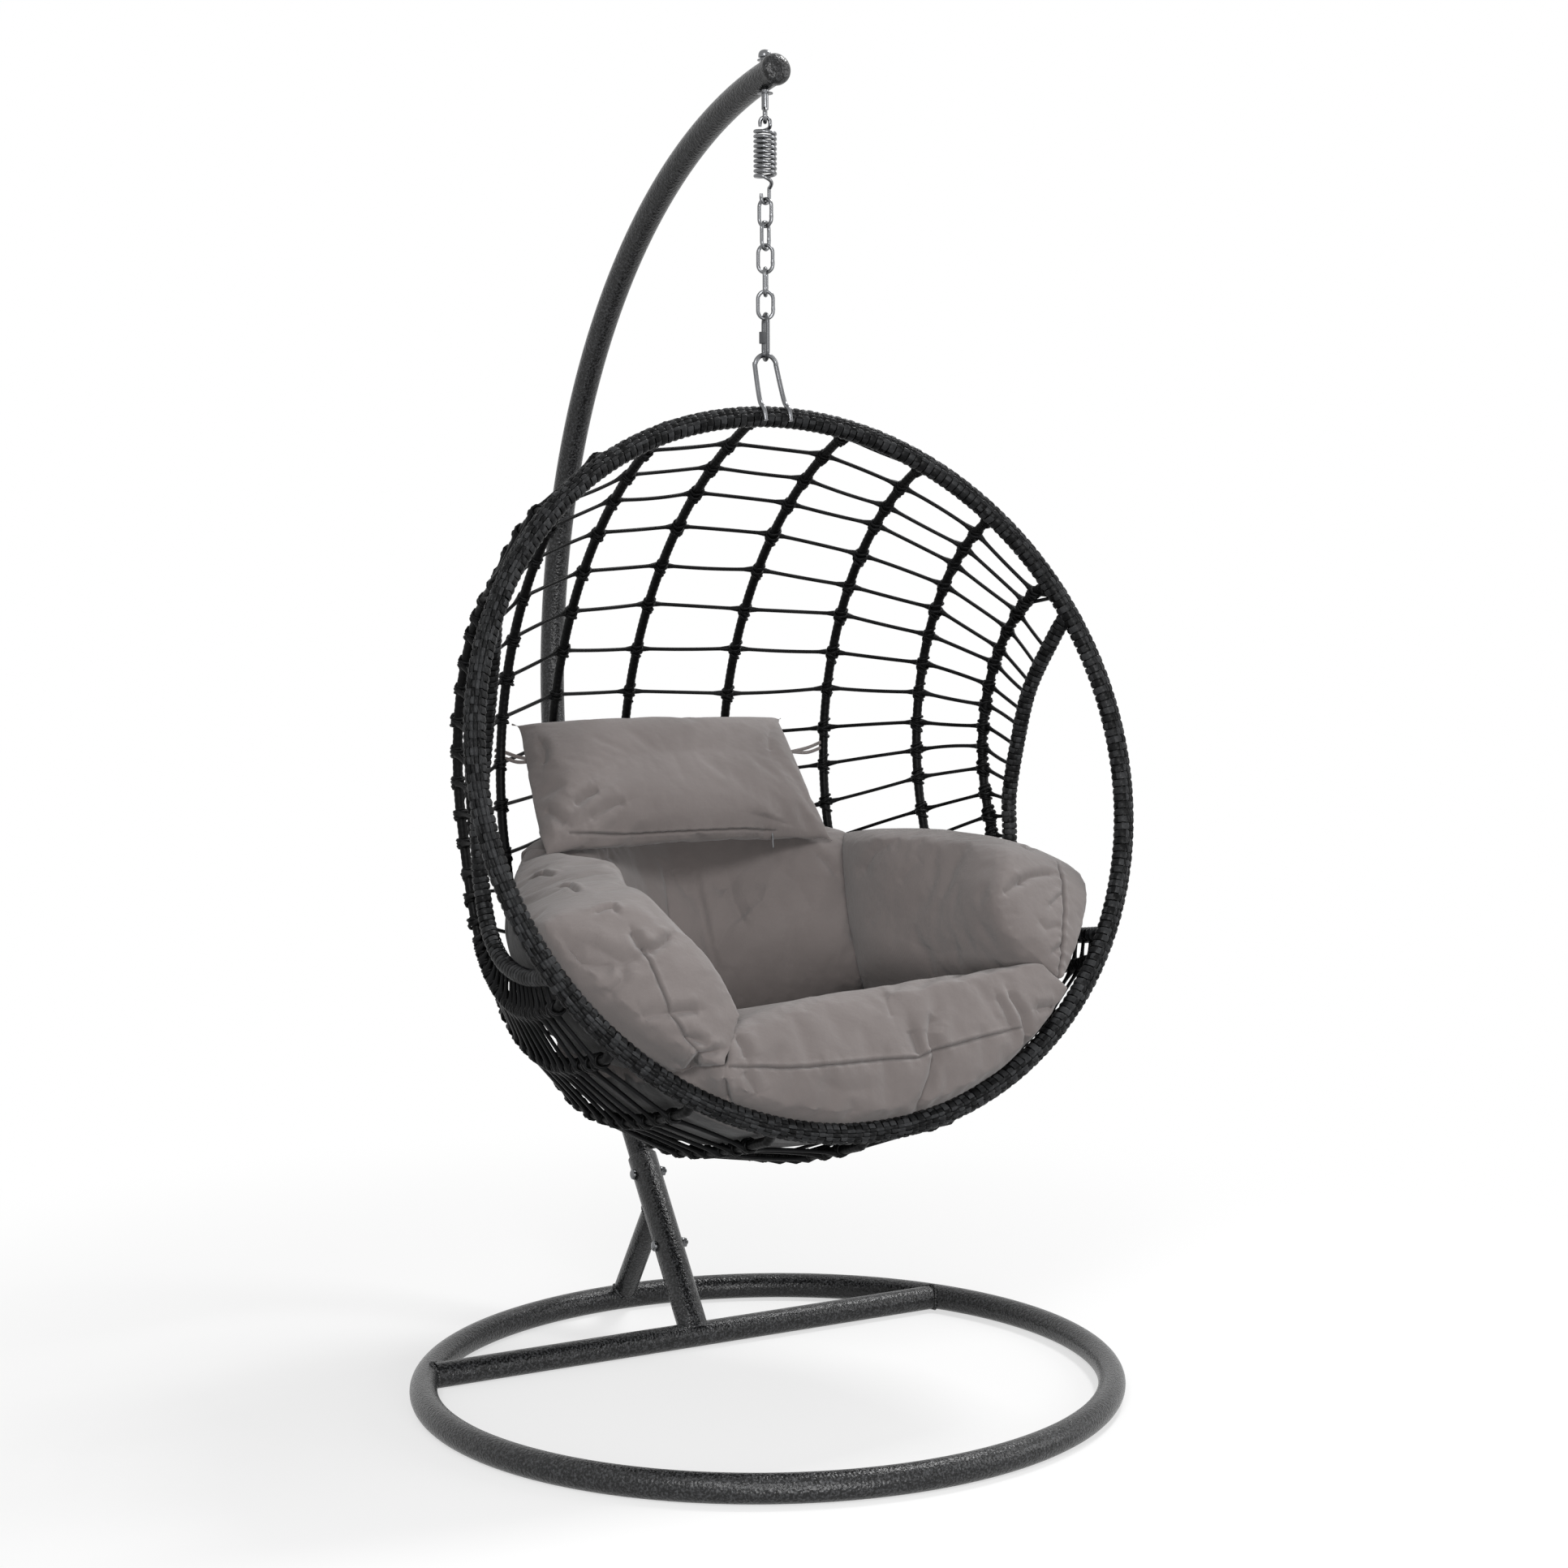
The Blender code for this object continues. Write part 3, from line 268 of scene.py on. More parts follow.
def turned(profile, place, sides=32):
    # a solid of revolution from (radius, height) pairs, drawn round Z and then placed
    rings, faces = [], []
    for row, (reach, height) in enumerate(profile):
        for index in range(sides):
            angle = 2 * pi * index / sides
            rings.append(place @ Vector((reach * cos(angle), reach * sin(angle), height)))
            if row < len(profile) - 1:
                beside = (index + 1) % sides
                faces.append((row * sides + index, row * sides + beside,
                              (row + 1) * sides + beside, (row + 1) * sides + index))
    last = (len(profile) - 1) * sides
    faces += [tuple(range(sides - 1, -1, -1)), tuple(range(last, last + sides))]
    return np.array(rings), faces


def joined(parts):
    verts, faces, start = [], [], 0
    for partVerts, partFaces in parts:
        verts.append(partVerts)
        faces += [tuple(corner + start for corner in face) for face in partFaces]
        start += len(partVerts)
    return np.concatenate(verts), faces


def meshOf(name, shape):
    verts, faces = shape
    mesh = bpy.data.meshes.new(name)
    mesh.from_pydata((np.asarray(verts, float) + [0.0, ringBack, 0.0]).tolist(), [], faces)
    return mesh


def addLayer(mesh, name, values):
    layer = mesh.attributes.new(name, "FLOAT", "POINT")
    layer.data.foreach_set("value", np.asarray(values, np.float32))


def piece(name, shape, look, body, nodes=(), sharp=45, tones=None):
    mesh = meshOf(name, shape)
    mesh.validate()
    if tones is not None:
        addLayer(mesh, "tone", tones)
    mesh.materials.append(look)
    mesh.shade_smooth()
    if sharp:
        mesh.set_sharp_from_angle(angle=radians(sharp))
    thing = bpy.data.objects.new(name, mesh)
    scene.collection.objects.link(thing)
    if body:
        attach(thing, body)
    if nodes:
        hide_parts(*nodes)
    return thing


def resampled(points, count):
    route = np.asarray(points, float)
    length = np.concatenate([[0.0], np.cumsum(np.linalg.norm(np.diff(route, axis=0), axis=1))])
    wanted = np.linspace(0.0, length[-1], count)
    return np.stack([np.interp(wanted, length, route[:, axis]) for axis in range(3)], axis=1)


def smoothed(points, count):
    # an even route on a Catmull-Rom curve through the points
    spots = [np.asarray(point, float) for point in points]
    spots = [2 * spots[0] - spots[1]] + spots + [2 * spots[-1] - spots[-2]]
    route = []
    for before, start, end, after in zip(spots, spots[1:], spots[2:], spots[3:]):
        for share in np.arange(16) / 16:
            route.append(0.5 * (2 * start + (end - before) * share
                                + (2 * before - 5 * start + 4 * end - after) * share ** 2
                                + (3 * start - before - 3 * end + after) * share ** 3))
    route.append(spots[-2])
    return resampled(route, count)


def along(start, end):
    way = Vector(end) - Vector(start)
    return Matrix.Translation(start) @ way.to_track_quat("Z", "Y").to_matrix().to_4x4()


view = {"place": (-1.8281, -3.3772, 1.1667), "target": (0.1238, -0.0731, 0.8951), "lens": 60.63, "shift": -0.0526,
        "sensor": 36.0, "picture": 1932}
eye, aim = (Vector(view[key]) + Vector((0, ringBack, 0)) for key in ("place", "target"))
cameraData = bpy.data.cameras.new("camera")
cameraData.lens, cameraData.sensor_width, cameraData.shift_x = view["lens"], view["sensor"], view["shift"]
camera = bpy.data.objects.new("camera", cameraData)
camera.location = eye
camera.rotation_euler = (aim - eye).to_track_quat("-Z", "Y").to_euler()
scene.collection.objects.link(camera)
scene.camera = camera


def photoRay(across, down):
    # the line of sight through a place in the picture
    turn = camera.rotation_euler.to_matrix()
    x = (across / view["picture"] - 0.5 + view["shift"]) * view["sensor"] / view["lens"]
    y = (0.5 - down / view["picture"]) * view["sensor"] / view["lens"]
    return eye, (turn @ Vector((x, y, -1.0))).normalized()


stand = {
    "ringRadius": 0.505, "ringTube": 0.040, "barTube": 0.038, "barBack": 0.2424, "barTrim": 0.014,
    "mastTube": 0.040, "mastFrom": 0.06, "straight": 0.5, "arcRadius": 0.90, "arcBack": -0.13, "arcHeight": 1.02,
    "arcTip": 83.4, "legTube": 0.0465, "legLength": 0.31, "strutTube": 0.037, "strutRingHeight": 0.028,
    "strutJoint": 0.225, "bolts": (0.154, 0.280), "bead": 0.0026, "beadRipple": 0.22, "beadStep": 0.002,
}
ringCentre = Vector((0, 0, stand["ringTube"] / 2))
foot = Vector((0, stand["barBack"], stand["ringTube"] / 2))
arcCentre = Vector((0, stand["arcBack"], stand["arcHeight"]))
toFoot = foot - arcCentre
tangentAngle = atan2(toFoot.z, toFoot.y) + acos(stand["arcRadius"] / toFoot.length)
legWay = Vector((0, -sin(tangentAngle), cos(tangentAngle)))
if legWay.z < 0:
    legWay = -legWay


def onArc(angle):
    return arcCentre + stand["arcRadius"] * Vector((0, cos(angle), sin(angle)))


def inRing(spot):
    across = sqrt(spot.x ** 2 + spot.y ** 2) - stand["ringRadius"]
    return across ** 2 + (spot.z - ringCentre.z) ** 2 < (stand["ringTube"] / 2) ** 2


def inBar(spot):
    return (spot.y - foot.y) ** 2 + (spot.z - foot.z) ** 2 < (stand["barTube"] / 2) ** 2


def inLeg(spot):
    way = spot - foot
    return (way - legWay * way.dot(legWay)).length < stand["legTube"] / 2


def weldBead(start, way, tube, inside, reach):
    # a rippled bead where a tube that comes from start along way meets another piece
    across, hop = way.orthogonal().normalized(), stand["beadStep"]
    lift = way.cross(across)
    spots, count = [], 96
    for index in range(count):
        angle = 2 * pi * index / count
        edge = start + (across * cos(angle) + lift * sin(angle)) * tube / 2
        steps = [-reach + hop * order for order in range(int(2 * reach / hop))]
        hit = next((step for step in steps if inside(edge + way * step)), None)
        if hit is None:
            continue
        near, far = hit - hop, hit
        for _ in range(8):
            middle = (near + far) / 2
            if inside(edge + way * middle):
                far = middle
            else:
                near = middle
        spots.append(edge + way * near)
    ripple = stand["bead"] * (1 + stand["beadRipple"] * np.sin(np.arange(len(spots)) * 1.9))
    return swept(spots, ripple, 8, closed=len(spots) == count)


def steel(name, shape, *nodes):
    piece(name, shape, paintLook, "stand", nodes)


ringTurn = np.linspace(0, 2 * pi, 240, endpoint=False)
ringPath = np.stack([stand["ringRadius"] * np.cos(ringTurn), stand["ringRadius"] * np.sin(ringTurn),
                     np.full(len(ringTurn), ringCentre.z)], axis=1)
steel("floorRing", swept(ringPath, stand["ringTube"] / 2, 28, closed=True), "base_ring")

barHalf = sqrt(stand["ringRadius"] ** 2 - foot.y ** 2) - stand["barTrim"]
barPath = [(x, foot.y, foot.z) for x in np.linspace(-barHalf, barHalf, 24)]
steel("crossbar", swept(barPath, stand["barTube"] / 2, 28), "base_crossbar")

# the socket that the mast slides into, open at its top
legOut, legIn, legTop = stand["legTube"] / 2, stand["mastTube"] / 2 + 0.0004, stand["legLength"]
sleeve = [(legOut, 0.0), (legOut, legTop - 0.0052), (legOut - 0.0008, legTop - 0.0042),
          (legIn + 0.0006, legTop - 0.0042), (legIn, legTop - 0.0060), (legIn, legTop - 0.03)]
steel("mastSocket", turned(sleeve, along(foot + legWay * 0.004, foot + legWay * legTop), 36), "front_leg")

strutStart = Vector((0, stand["ringRadius"] - 0.004, stand["strutRingHeight"]))
strutEnd = foot + legWay * stand["strutJoint"]
strutWay = (strutEnd - strutStart).normalized()
strutPath = [strutStart + (strutEnd - strutWay * 0.012 - strutStart) * share for share in np.linspace(0, 1, 12)]
steel("rearLeg", swept(strutPath, stand["strutTube"] / 2, 28), "rear_leg")

barEnd, barWay = Vector((barHalf, foot.y, foot.z)), Vector((1, 0, 0))
beads = [
    weldBead(barEnd, barWay, stand["barTube"], inRing, 0.08),
    weldBead(Vector((-barHalf, foot.y, foot.z)), -barWay, stand["barTube"], inRing, 0.08),
    weldBead(foot + legWay * 0.05, -legWay, stand["legTube"] - 0.012, inBar, 0.049),
    weldBead(strutStart + strutWay * 0.06, -strutWay, stand["strutTube"], inRing, 0.058),
    weldBead(strutEnd - strutWay * 0.07, strutWay, stand["strutTube"], inLeg, 0.068),
]
steel("weldBeads", joined(beads))

mastPath = [foot + legWay * share for share in np.linspace(stand["mastFrom"], stand["straight"], 8)]
mastPath += [onArc(tangentAngle + (radians(stand["arcTip"]) - tangentAngle) * share)
             for share in np.linspace(0, 1, 110)]
steel("mastTube", swept(mastPath, stand["mastTube"] / 2, 28), "mast")
tip, tipWay = mastPath[-1], (mastPath[-1] - mastPath[-2]).normalized()

cap = {"spigot": 0.0195, "radius": 0.0225, "height": 0.017, "skirt": 0.004}
domeProfile = [(cap["spigot"], -0.006), (cap["radius"], -0.001), (cap["radius"], cap["skirt"])]
capRise = cap["height"] - cap["skirt"]
domeProfile += [(cap["radius"] * cos(radians(a)), cap["skirt"] + capRise * sin(radians(a))) for a in range(6, 90, 7)]
steel("mastCap", turned(domeProfile, along(tip, tip + tipWay), 40), "mast_end_cap")


def hexagon(flats, low, high, place, bevel=0.0009):
    corner, ease = flats / 2 / cos(pi / 6), bevel * 0.6
    return turned([(corner - bevel, low), (corner, low + ease), (corner, high - ease), (corner - bevel, high)], place, 6)


bolt = {"washer": 0.0086, "hole": 0.0046, "thick": 0.0012, "head": 0.0082, "headRise": 0.0036, "nut": 0.0135,
        "nutTop": 0.0078, "thread": 0.0039, "end": 0.0108}


def boltEnd(name, node, centre, outward, isNut):
    # a washer under a domed head, or on the far side under a nut with the bolt's end
    seat, lip = along(centre, centre + outward), bolt["thick"] + 0.0001
    parts = [turned([(bolt["washer"], 0.0), (bolt["washer"], bolt["thick"]), (bolt["hole"], lip)], seat, 24)]
    if isNut:
        parts.append(hexagon(bolt["nut"], bolt["thick"], bolt["nutTop"], seat))
        parts.append(turned([(bolt["thread"], 0.0), (bolt["thread"], bolt["end"] - 0.001),
                             (bolt["thread"] - 0.0009, bolt["end"])], seat, 16))
    else:
        dome = [(bolt["head"] * cos(radians(a)), 0.0020 + bolt["headRise"] * sin(radians(a))) for a in range(0, 90, 12)]
        parts.append(turned([(bolt["head"], lip)] + dome, seat, 28))
    piece(name, joined(parts), zincLook, "stand", (node,), sharp=35)


for order, share in enumerate(stand["bolts"], start=1):
    centre, side = foot + legWay * share, Vector((1, 0, 0))
    boltEnd(f"boltHead{order}", f"leg_bolt_{order}", centre - side * stand["legTube"] / 2, -side, False)
    boltEnd(f"boltNut{order}", f"leg_nut_{order}", centre + side * stand["legTube"] / 2, side, True)
print("stand made")


gear = {
    "hangBack": 0.003, "play": 0.0006,
    "eyeWire": 0.007, "eyeEase": 0.0008, "eyeMean": 0.0095, "eyeHeight": 1.855, "eyeShank": 0.010, "eyeFacing": 59.4,
    "springWire": 0.0055, "springDiameter": 0.034, "springTurns": 9, "springPitch": 0.0072, "springBottom": 1.765,
    "hookRadius": 0.0072, "hookFacing": 10.0, "topHookFacing": -30.6,
    "linkLength": 0.0444, "linkWidth": 0.0274, "linkWire": 0.0055, "linkTop": 1.7395, "buttWeld": 0.0003,
    "linkFacings": (-66.0, 34.0, -46.0, 54.0, -26.0),
    "quickLength": 0.071, "quickWidth": 0.034, "quickWire": 0.006, "quickFacing": 74.0,
    "sleeveLength": 0.017, "sleeveFlats": 0.0125,
    "loopWire": 0.007, "loopTopHalf": 0.0175, "loopFootHalf": 0.0203,
}
hang = Vector((0, gear["hangBack"], 0))
mastMiddle = stand["arcHeight"] + sqrt(stand["arcRadius"] ** 2 - (hang.y - stand["arcBack"]) ** 2)
mastTop = mastMiddle + stand["mastTube"] / 2
mastUnder = mastTop - stand["mastTube"]


def up(height, across=0.0, angle=0.0):
    return hang + Vector((across * cos(angle), across * sin(angle), height))


# eye bolt through the mast's tip, with a washer below and a domed nut on top
eyeAngle, shankRadius = radians(gear["eyeFacing"]), gear["eyeShank"] / 2
eyeRing = [up(gear["eyeHeight"] + gear["eyeMean"] * sin(a), gear["eyeMean"] * cos(a), eyeAngle)
           for a in np.linspace(0, 2 * pi, 40, endpoint=False)]
shankLength = mastTop - gear["eyeHeight"] + 0.002
shank = turned([(shankRadius - 0.0004, 0.0), (shankRadius, 0.001), (shankRadius, shankLength)],
               Matrix.Translation(up(gear["eyeHeight"] + gear["eyeMean"] - 0.002)), 24)
eyeTube = swept(eyeRing, (gear["eyeWire"] - gear["eyeEase"]) / 2, 14, closed=True)
piece("eyeBolt", joined([eyeTube, shank]), zincLook, "stand", ("eye_bolt",))
washer = [(0.0112, 0.0), (0.0115, 0.0004), (0.0115, 0.0018), (0.0108, 0.0022)]
piece("eyeWasher", turned(washer, Matrix.Translation(up(mastUnder - 0.0052)), 36), darkZincLook, "stand",
      ("eye_bolt_washer",))
domeNut = [(0.0110, 0.0), (0.0110, 0.0013), (0.0068, 0.0024), (0.0066, 0.0040), (0.0093, 0.0046),
           (0.0096, 0.0060), (0.0094, 0.0092), (0.0080, 0.0125), (0.0055, 0.0146), (0.0020, 0.0156)]
piece("eyeNut", turned(domeNut, Matrix.Translation(up(mastTop + 0.0018))), zincLook, "stand",
      ("eye_bolt_nut",))


def hookToCoil(lowHeight, highHeight, startAngle, turn):
    # the wire widens from the hook to the coil while it turns
    spots = []
    for index in range(1, 14):
        share = index / 14
        swell = share * share * (3 - 2 * share)
        reach = gear["hookRadius"] + (coilRadius - gear["hookRadius"]) * swell
        spots.append(up(lowHeight + (highHeight - lowHeight) * share, reach, startAngle + turn * share))
    return spots


def hookArch(height, upward, angle):
    turns = np.linspace(pi, 0, 15) if upward > 0 else np.linspace(0, pi, 15)
    reach = gear["hookRadius"]
    return [up(height + upward * reach * sin(a), reach * cos(a), angle) for a in turns]


# the spring is one wire: top hook, coil, bottom hook
coilRadius = (gear["springDiameter"] - gear["springWire"]) / 2
coilLow = gear["springBottom"] + gear["springWire"] / 2
coilHigh = coilLow + gear["springTurns"] * gear["springPitch"]
eyeLowTop = gear["eyeHeight"] - gear["eyeMean"] + gear["eyeWire"] / 2
topArch = eyeLowTop + gear["play"] + gear["springWire"] / 2 - gear["hookRadius"]
lowArch = gear["linkTop"] - gear["linkWire"] - gear["play"] - gear["springWire"] / 2 + gear["hookRadius"]
topAngle, lowAngle, windOut = radians(gear["topHookFacing"]), radians(gear["hookFacing"]), radians(150)
coilStart = topAngle + windOut
coilTurn = lowAngle - windOut - coilStart
while coilTurn < 2 * pi * (gear["springTurns"] - 0.5):
    coilTurn += 2 * pi
wire = [up(topArch - 0.006, -gear["hookRadius"], topAngle)]
wire += hookArch(topArch, 1, topAngle)
wire.append(up(topArch - 0.004, gear["hookRadius"], topAngle))
wire += hookToCoil(topArch - 0.004, coilHigh, topAngle, windOut)
wire += [up(coilHigh + (coilLow - coilHigh) * share, coilRadius, coilStart + coilTurn * share)
         for share in np.linspace(0, 1, 30 * gear["springTurns"])]
wire += reversed(hookToCoil(lowArch + 0.014, coilLow, lowAngle, -windOut))
wire.append(up(lowArch + 0.014, gear["hookRadius"], lowAngle))
wire += hookArch(lowArch, -1, lowAngle)
wire.append(up(lowArch + 0.006, -gear["hookRadius"], lowAngle))
wirePath = smoothed(wire, 620)
ends = np.minimum(np.arange(len(wirePath)), np.arange(len(wirePath))[::-1])
thick = gear["springWire"] / 2 * np.where(ends < 3, 0.8 + 0.07 * ends, 1.0)
spring = piece("coilSpring", swept(wirePath, thick), zincLook, None, ("spring",))
tuple(up(coilHigh) + Vector((0, ringBack, 0)))
tuple(up(coilLow) + Vector((0, ringBack, 0)))
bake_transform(spring)


def linkLoop(kind, place, facing, steps, count):
    # an even closed route of count points round a long link
    length, width, wireSize = (gear[kind + size] for size in ("Length", "Width", "Wire"))
    reach, straight, angle = (width - wireSize) / 2, (length - width) / 2, radians(facing)
    spots = [(reach * cos(a), straight + reach * sin(a)) for a in np.linspace(0, pi, steps)]
    spots += [(reach * cos(a), -straight + reach * sin(a)) for a in np.linspace(pi, 2 * pi, steps)]
    spots.append(spots[0])
    return resampled([place + Vector((x * cos(angle), x * sin(angle), z)) for x, z in spots], count + 1)[:-1]


linkPitch = gear["linkLength"] - 2 * gear["linkWire"] - gear["play"]
for order, facing in enumerate(gear["linkFacings"]):
    middle = up(gear["linkTop"] - order * linkPitch - gear["linkLength"] / 2)
    route = linkLoop("link", middle, facing, 18, 72)
    girth = gear["linkWire"] / 2 + gear["buttWeld"] * np.exp(-((np.arange(len(route)) - 62.0) / 1.6) ** 2)
    piece(f"chainLink{order + 1}", swept(route, girth, closed=True), zincLook, f"link_{order + 1}",
          (f"chain_link_{order + 1}",))

quickTop = gear["linkTop"] - 5 * linkPitch + (gear["quickWire"] - gear["linkWire"])
quickMiddle, quickAngle = up(quickTop - gear["quickLength"] / 2), radians(gear["quickFacing"])
quickRoute = linkLoop("quick", quickMiddle, gear["quickFacing"], 22, 108)
piece("quickLink", swept(quickRoute, gear["quickWire"] / 2, 14, closed=True), darkZincLook, "quick_link",
      ("quick_link",))
sleeveOut, sleeveHalf = (gear["quickWidth"] - gear["quickWire"]) / 2, gear["sleeveLength"] / 2
sleeveMiddle = quickMiddle + Vector((cos(quickAngle), sin(quickAngle), 0)) * sleeveOut
piece("quickSleeve", hexagon(gear["sleeveFlats"], -sleeveHalf, sleeveHalf, Matrix.Translation(sleeveMiddle)),
      darkZincLook, "quick_link_sleeve", ("quick_link_sleeve",), sharp=30)
print("hanging gear made")


hoop = {"radius": 0.515, "back": -0.1553, "height": 0.9299, "lean": 16.13}
bowl = {"depth": 0.661, "halfWidth": 0.515, "planPower": 1.59, "upperPower": 1.94, "lowerPower": 3.36,
        "rib": 0.013, "standOff": 0.016, "root": 0.03,
        "topAngles": (0.0, 16.4, 30.6, 45.4, 60.0), "footAngles": (0.0, 16.4, 30.6, 45.4, 56.0),
        "halfWidths": (0.0, 0.152, 0.281, 0.381, 0.439)}
hoopUp = Vector((0, sin(radians(hoop["lean"])), cos(radians(hoop["lean"]))))
hoopNormal = Vector((0, cos(radians(hoop["lean"])), -sin(radians(hoop["lean"]))))
hoopCentre = Vector((0, hoop["back"], hoop["height"]))


def fromHoop(across, rise, back):
    return hoopCentre + Vector((across, 0, 0)) + hoopUp * rise + hoopNormal * back


def onHoop(angle, side=1):
    return fromHoop(side * hoop["radius"] * sin(radians(angle)), hoop["radius"] * cos(radians(angle)), 0)


def bowlReach(across):
    share = np.minimum(np.abs(across) / bowl["halfWidth"], 0.9999)
    return bowl["depth"] * (1 - share ** bowl["planPower"]) ** (1 / bowl["planPower"])


def ribCurve(order):
    # a rib from the hoop's top round the back to its bottom; the order counts out from the middle, left below 0
    side, place = -1 if order < 0 else 1, abs(order)
    topAcross = side * hoop["radius"] * sin(radians(bowl["topAngles"][place]))
    footAcross = side * hoop["radius"] * sin(radians(bowl["footAngles"][place]))
    midAcross = side * bowl["halfWidths"][place]
    depth = bowlReach(midAcross)
    spots = []
    for t in np.linspace(0, pi, 401):
        upper = t <= pi / 2
        power = bowl["upperPower"] if upper else bowl["lowerPower"]
        endAcross = topAcross if upper else footAcross
        across = endAcross + (midAcross - endAcross) * sin(t)
        back = depth * max(sin(t), 0.0) ** (2 / power)
        rise = sqrt(hoop["radius"] ** 2 - endAcross ** 2) + bowl["standOff"] * min(1.0, back / bowl["root"])
        rise *= abs(cos(t)) ** (2 / power)
        spots.append(fromHoop(across, rise if upper else -rise, back))
    return resampled(spots, 400)


sideBar = {"top": 64.5, "foot": 121.5, "route": (
    (0.456, -0.070, 1.107), (0.444, -0.023, 1.028), (0.441, 0.005, 0.947), (0.440, 0.026, 0.865),
    (0.440, 0.026, 0.815), (0.439, 0.020, 0.767), (0.439, -0.006, 0.708), (0.440, -0.057, 0.672),
    (0.441, -0.137, 0.661))}


def barCurve(side):
    route = [onHoop(sideBar["top"], side)] + [(side * x, y, z) for x, y, z in sideBar["route"]]
    return smoothed(route + [onHoop(sideBar["foot"], side)], 300)


# how much of its pitch and its row a strip covers, and how far strips stray
weave = {"alongLength": 0.66, "alongWidth": 0.41, "roundWidth": 0.42, "roundLength": 0.60, "level": 0.25,
         "strayLength": 0.0003, "strayTurn": 0.012, "strayRise": 0.00008, "core": 0.0016, "tones": (0.15, 1.0)}


def woven(route, outward, closed, cover):
    # flat strip wound round a tube, over and under strips that run along it where cover["along"] says
    loop = np.concatenate([route, route[:1]]) if closed else route
    length = np.concatenate([[0.0], np.cumsum(np.linalg.norm(np.diff(loop, axis=0), axis=1))])
    turns = int(length[-1] / cover["pitch"] / 2) * 2
    pitch = length[-1] / turns
    tangents = np.gradient(loop, axis=0)
    if closed:
        tangents[0] = tangents[-1] = loop[1] - loop[-2]
    tangents /= np.linalg.norm(tangents, axis=1, keepdims=True)
    aim = np.concatenate([outward, outward[:1]]) if closed else outward
    aim = aim - tangents * (aim * tangents).sum(axis=1, keepdims=True)
    aim /= np.linalg.norm(aim, axis=1, keepdims=True)
    lift = np.cross(tangents, aim)
    rows = cover["rows"]
    step = 2 * pi / rows
    turn, row = [grid.ravel() for grid in np.meshgrid(np.arange(turns), np.arange(rows), indexing="ij")]
    onAlong = np.isin(row, cover["along"])
    isAlong, level = (onAlong & ((turn + row) % 2 == 0))[:, None, None], ~onAlong[:, None, None]
    stray = rng.normal(0, 1, (3, len(turn)))[:, :, None, None]
    # each strip is a patch of 5 by 3 points, u along it and v across, whose ends dip under the next ones
    u = np.array([-1.0, -0.5, 0.0, 0.5, 1.0])[None, :, None]
    v = np.array([-1.0, 0.0, 1.0])[None, None, :]
    lap = np.where(level, weave["level"], np.array([-1.0, 0.75, 1.0, 0.75, -1.0])[None, :, None])
    run = (turn[:, None, None] + 0.5) * pitch + stray[0] * weave["strayLength"]
    run = run + np.where(isAlong, u * weave["alongLength"] * pitch, v * weave["roundWidth"] * pitch)
    angle = row[:, None, None] * step + stray[1] * weave["strayTurn"]
    angle = angle + np.where(isAlong, v * weave["alongWidth"] * step, u * weave["roundLength"] * step)
    reach = cover["radius"] + lap * cover["lap"] + (1 - v ** 2) * cover["crown"] + stray[2] * weave["strayRise"]
    run = np.mod(run, length[-1]) if closed else np.clip(run, 0, length[-1])

    def at(table):
        return np.stack([np.interp(run, length, table[:, axis]) for axis in range(3)], axis=-1)

    reach, angle = reach[..., None], angle[..., None]
    verts = at(loop) + reach * (np.cos(angle) * at(aim) + np.sin(angle) * at(lift))
    corner = np.array([[i * 3 + j, i * 3 + j + 1, (i + 1) * 3 + j + 1, (i + 1) * 3 + j]
                       for i in range(4) for j in range(2)])
    faces = np.arange(len(turn))[:, None, None] * 15 + np.where(isAlong, corner[:, ::-1][None], corner[None])
    tones = np.repeat(rng.uniform(*weave["tones"], len(turn)), 15)
    return (verts.reshape(-1, 3), [tuple(face) for face in faces.reshape(-1, 4).tolist()]), tones


def coveredTube(name, route, outward, closed, cover, node):
    strips, tones = woven(route, outward, closed, cover)
    core = swept(route, cover["radius"] - weave["core"], 16, closed=closed)
    # the core tube gets tone 0, the darkest, so the gaps between strips show painted shade
    piece(name, joined([strips, core]), wrapLook, "basket", (node,), sharp=0,
          tones=np.concatenate([tones, np.zeros(len(core[0]))]))


hoopCover = {"radius": 0.0133, "pitch": 0.0113, "rows": 15, "lap": 0.0012, "crown": 0.0013,
             "along": (0, 1, 2, 3, 4, 11, 12, 13, 14)}
barCover = {"radius": 0.0108, "pitch": 0.0092, "rows": 12, "lap": 0.0006, "crown": 0.0011, "along": ()}
hoopRoute = np.array([onHoop(angle) for angle in np.linspace(0, 360, 720, endpoint=False)])
coveredTube("hoopWrap", hoopRoute, hoopRoute - np.array(hoopCentre), True, hoopCover, "hoop")
for side, word in ((-1, "left"), (1, "right")):
    route = barCurve(side)
    outward = np.tile([float(side), 0.0, 0.0], (len(route), 1))
    coveredTube(f"sideBar{word.title()}", route, outward, False, barCover, f"side_bar_{word}")
print("hoop and side bars wrapped")


net = {"shares": [0.030, 0.068, 0.104, 0.137] + [0.178 + 0.0403 * k for k in range(10)]
                 + [0.572 + 0.0236 * k for k in range(17)],
       "rightPace": (1.0, 0.993, 0.975, 0.948, 0.905), "leftPace": (1.0, 1.0, 1.05, 1.12, 1.20),
       "strand": 0.0058, "flare": 1.3, "flareReach": 0.013, "sag": 0.0016, "edgeDrop": 0.016, "edgeRows": 9,
       "knotLean": 0.0034, "knotStrand": 0.0048, "strandBack": 0.0045, "focus": (0.0, -0.02, 0.86)}
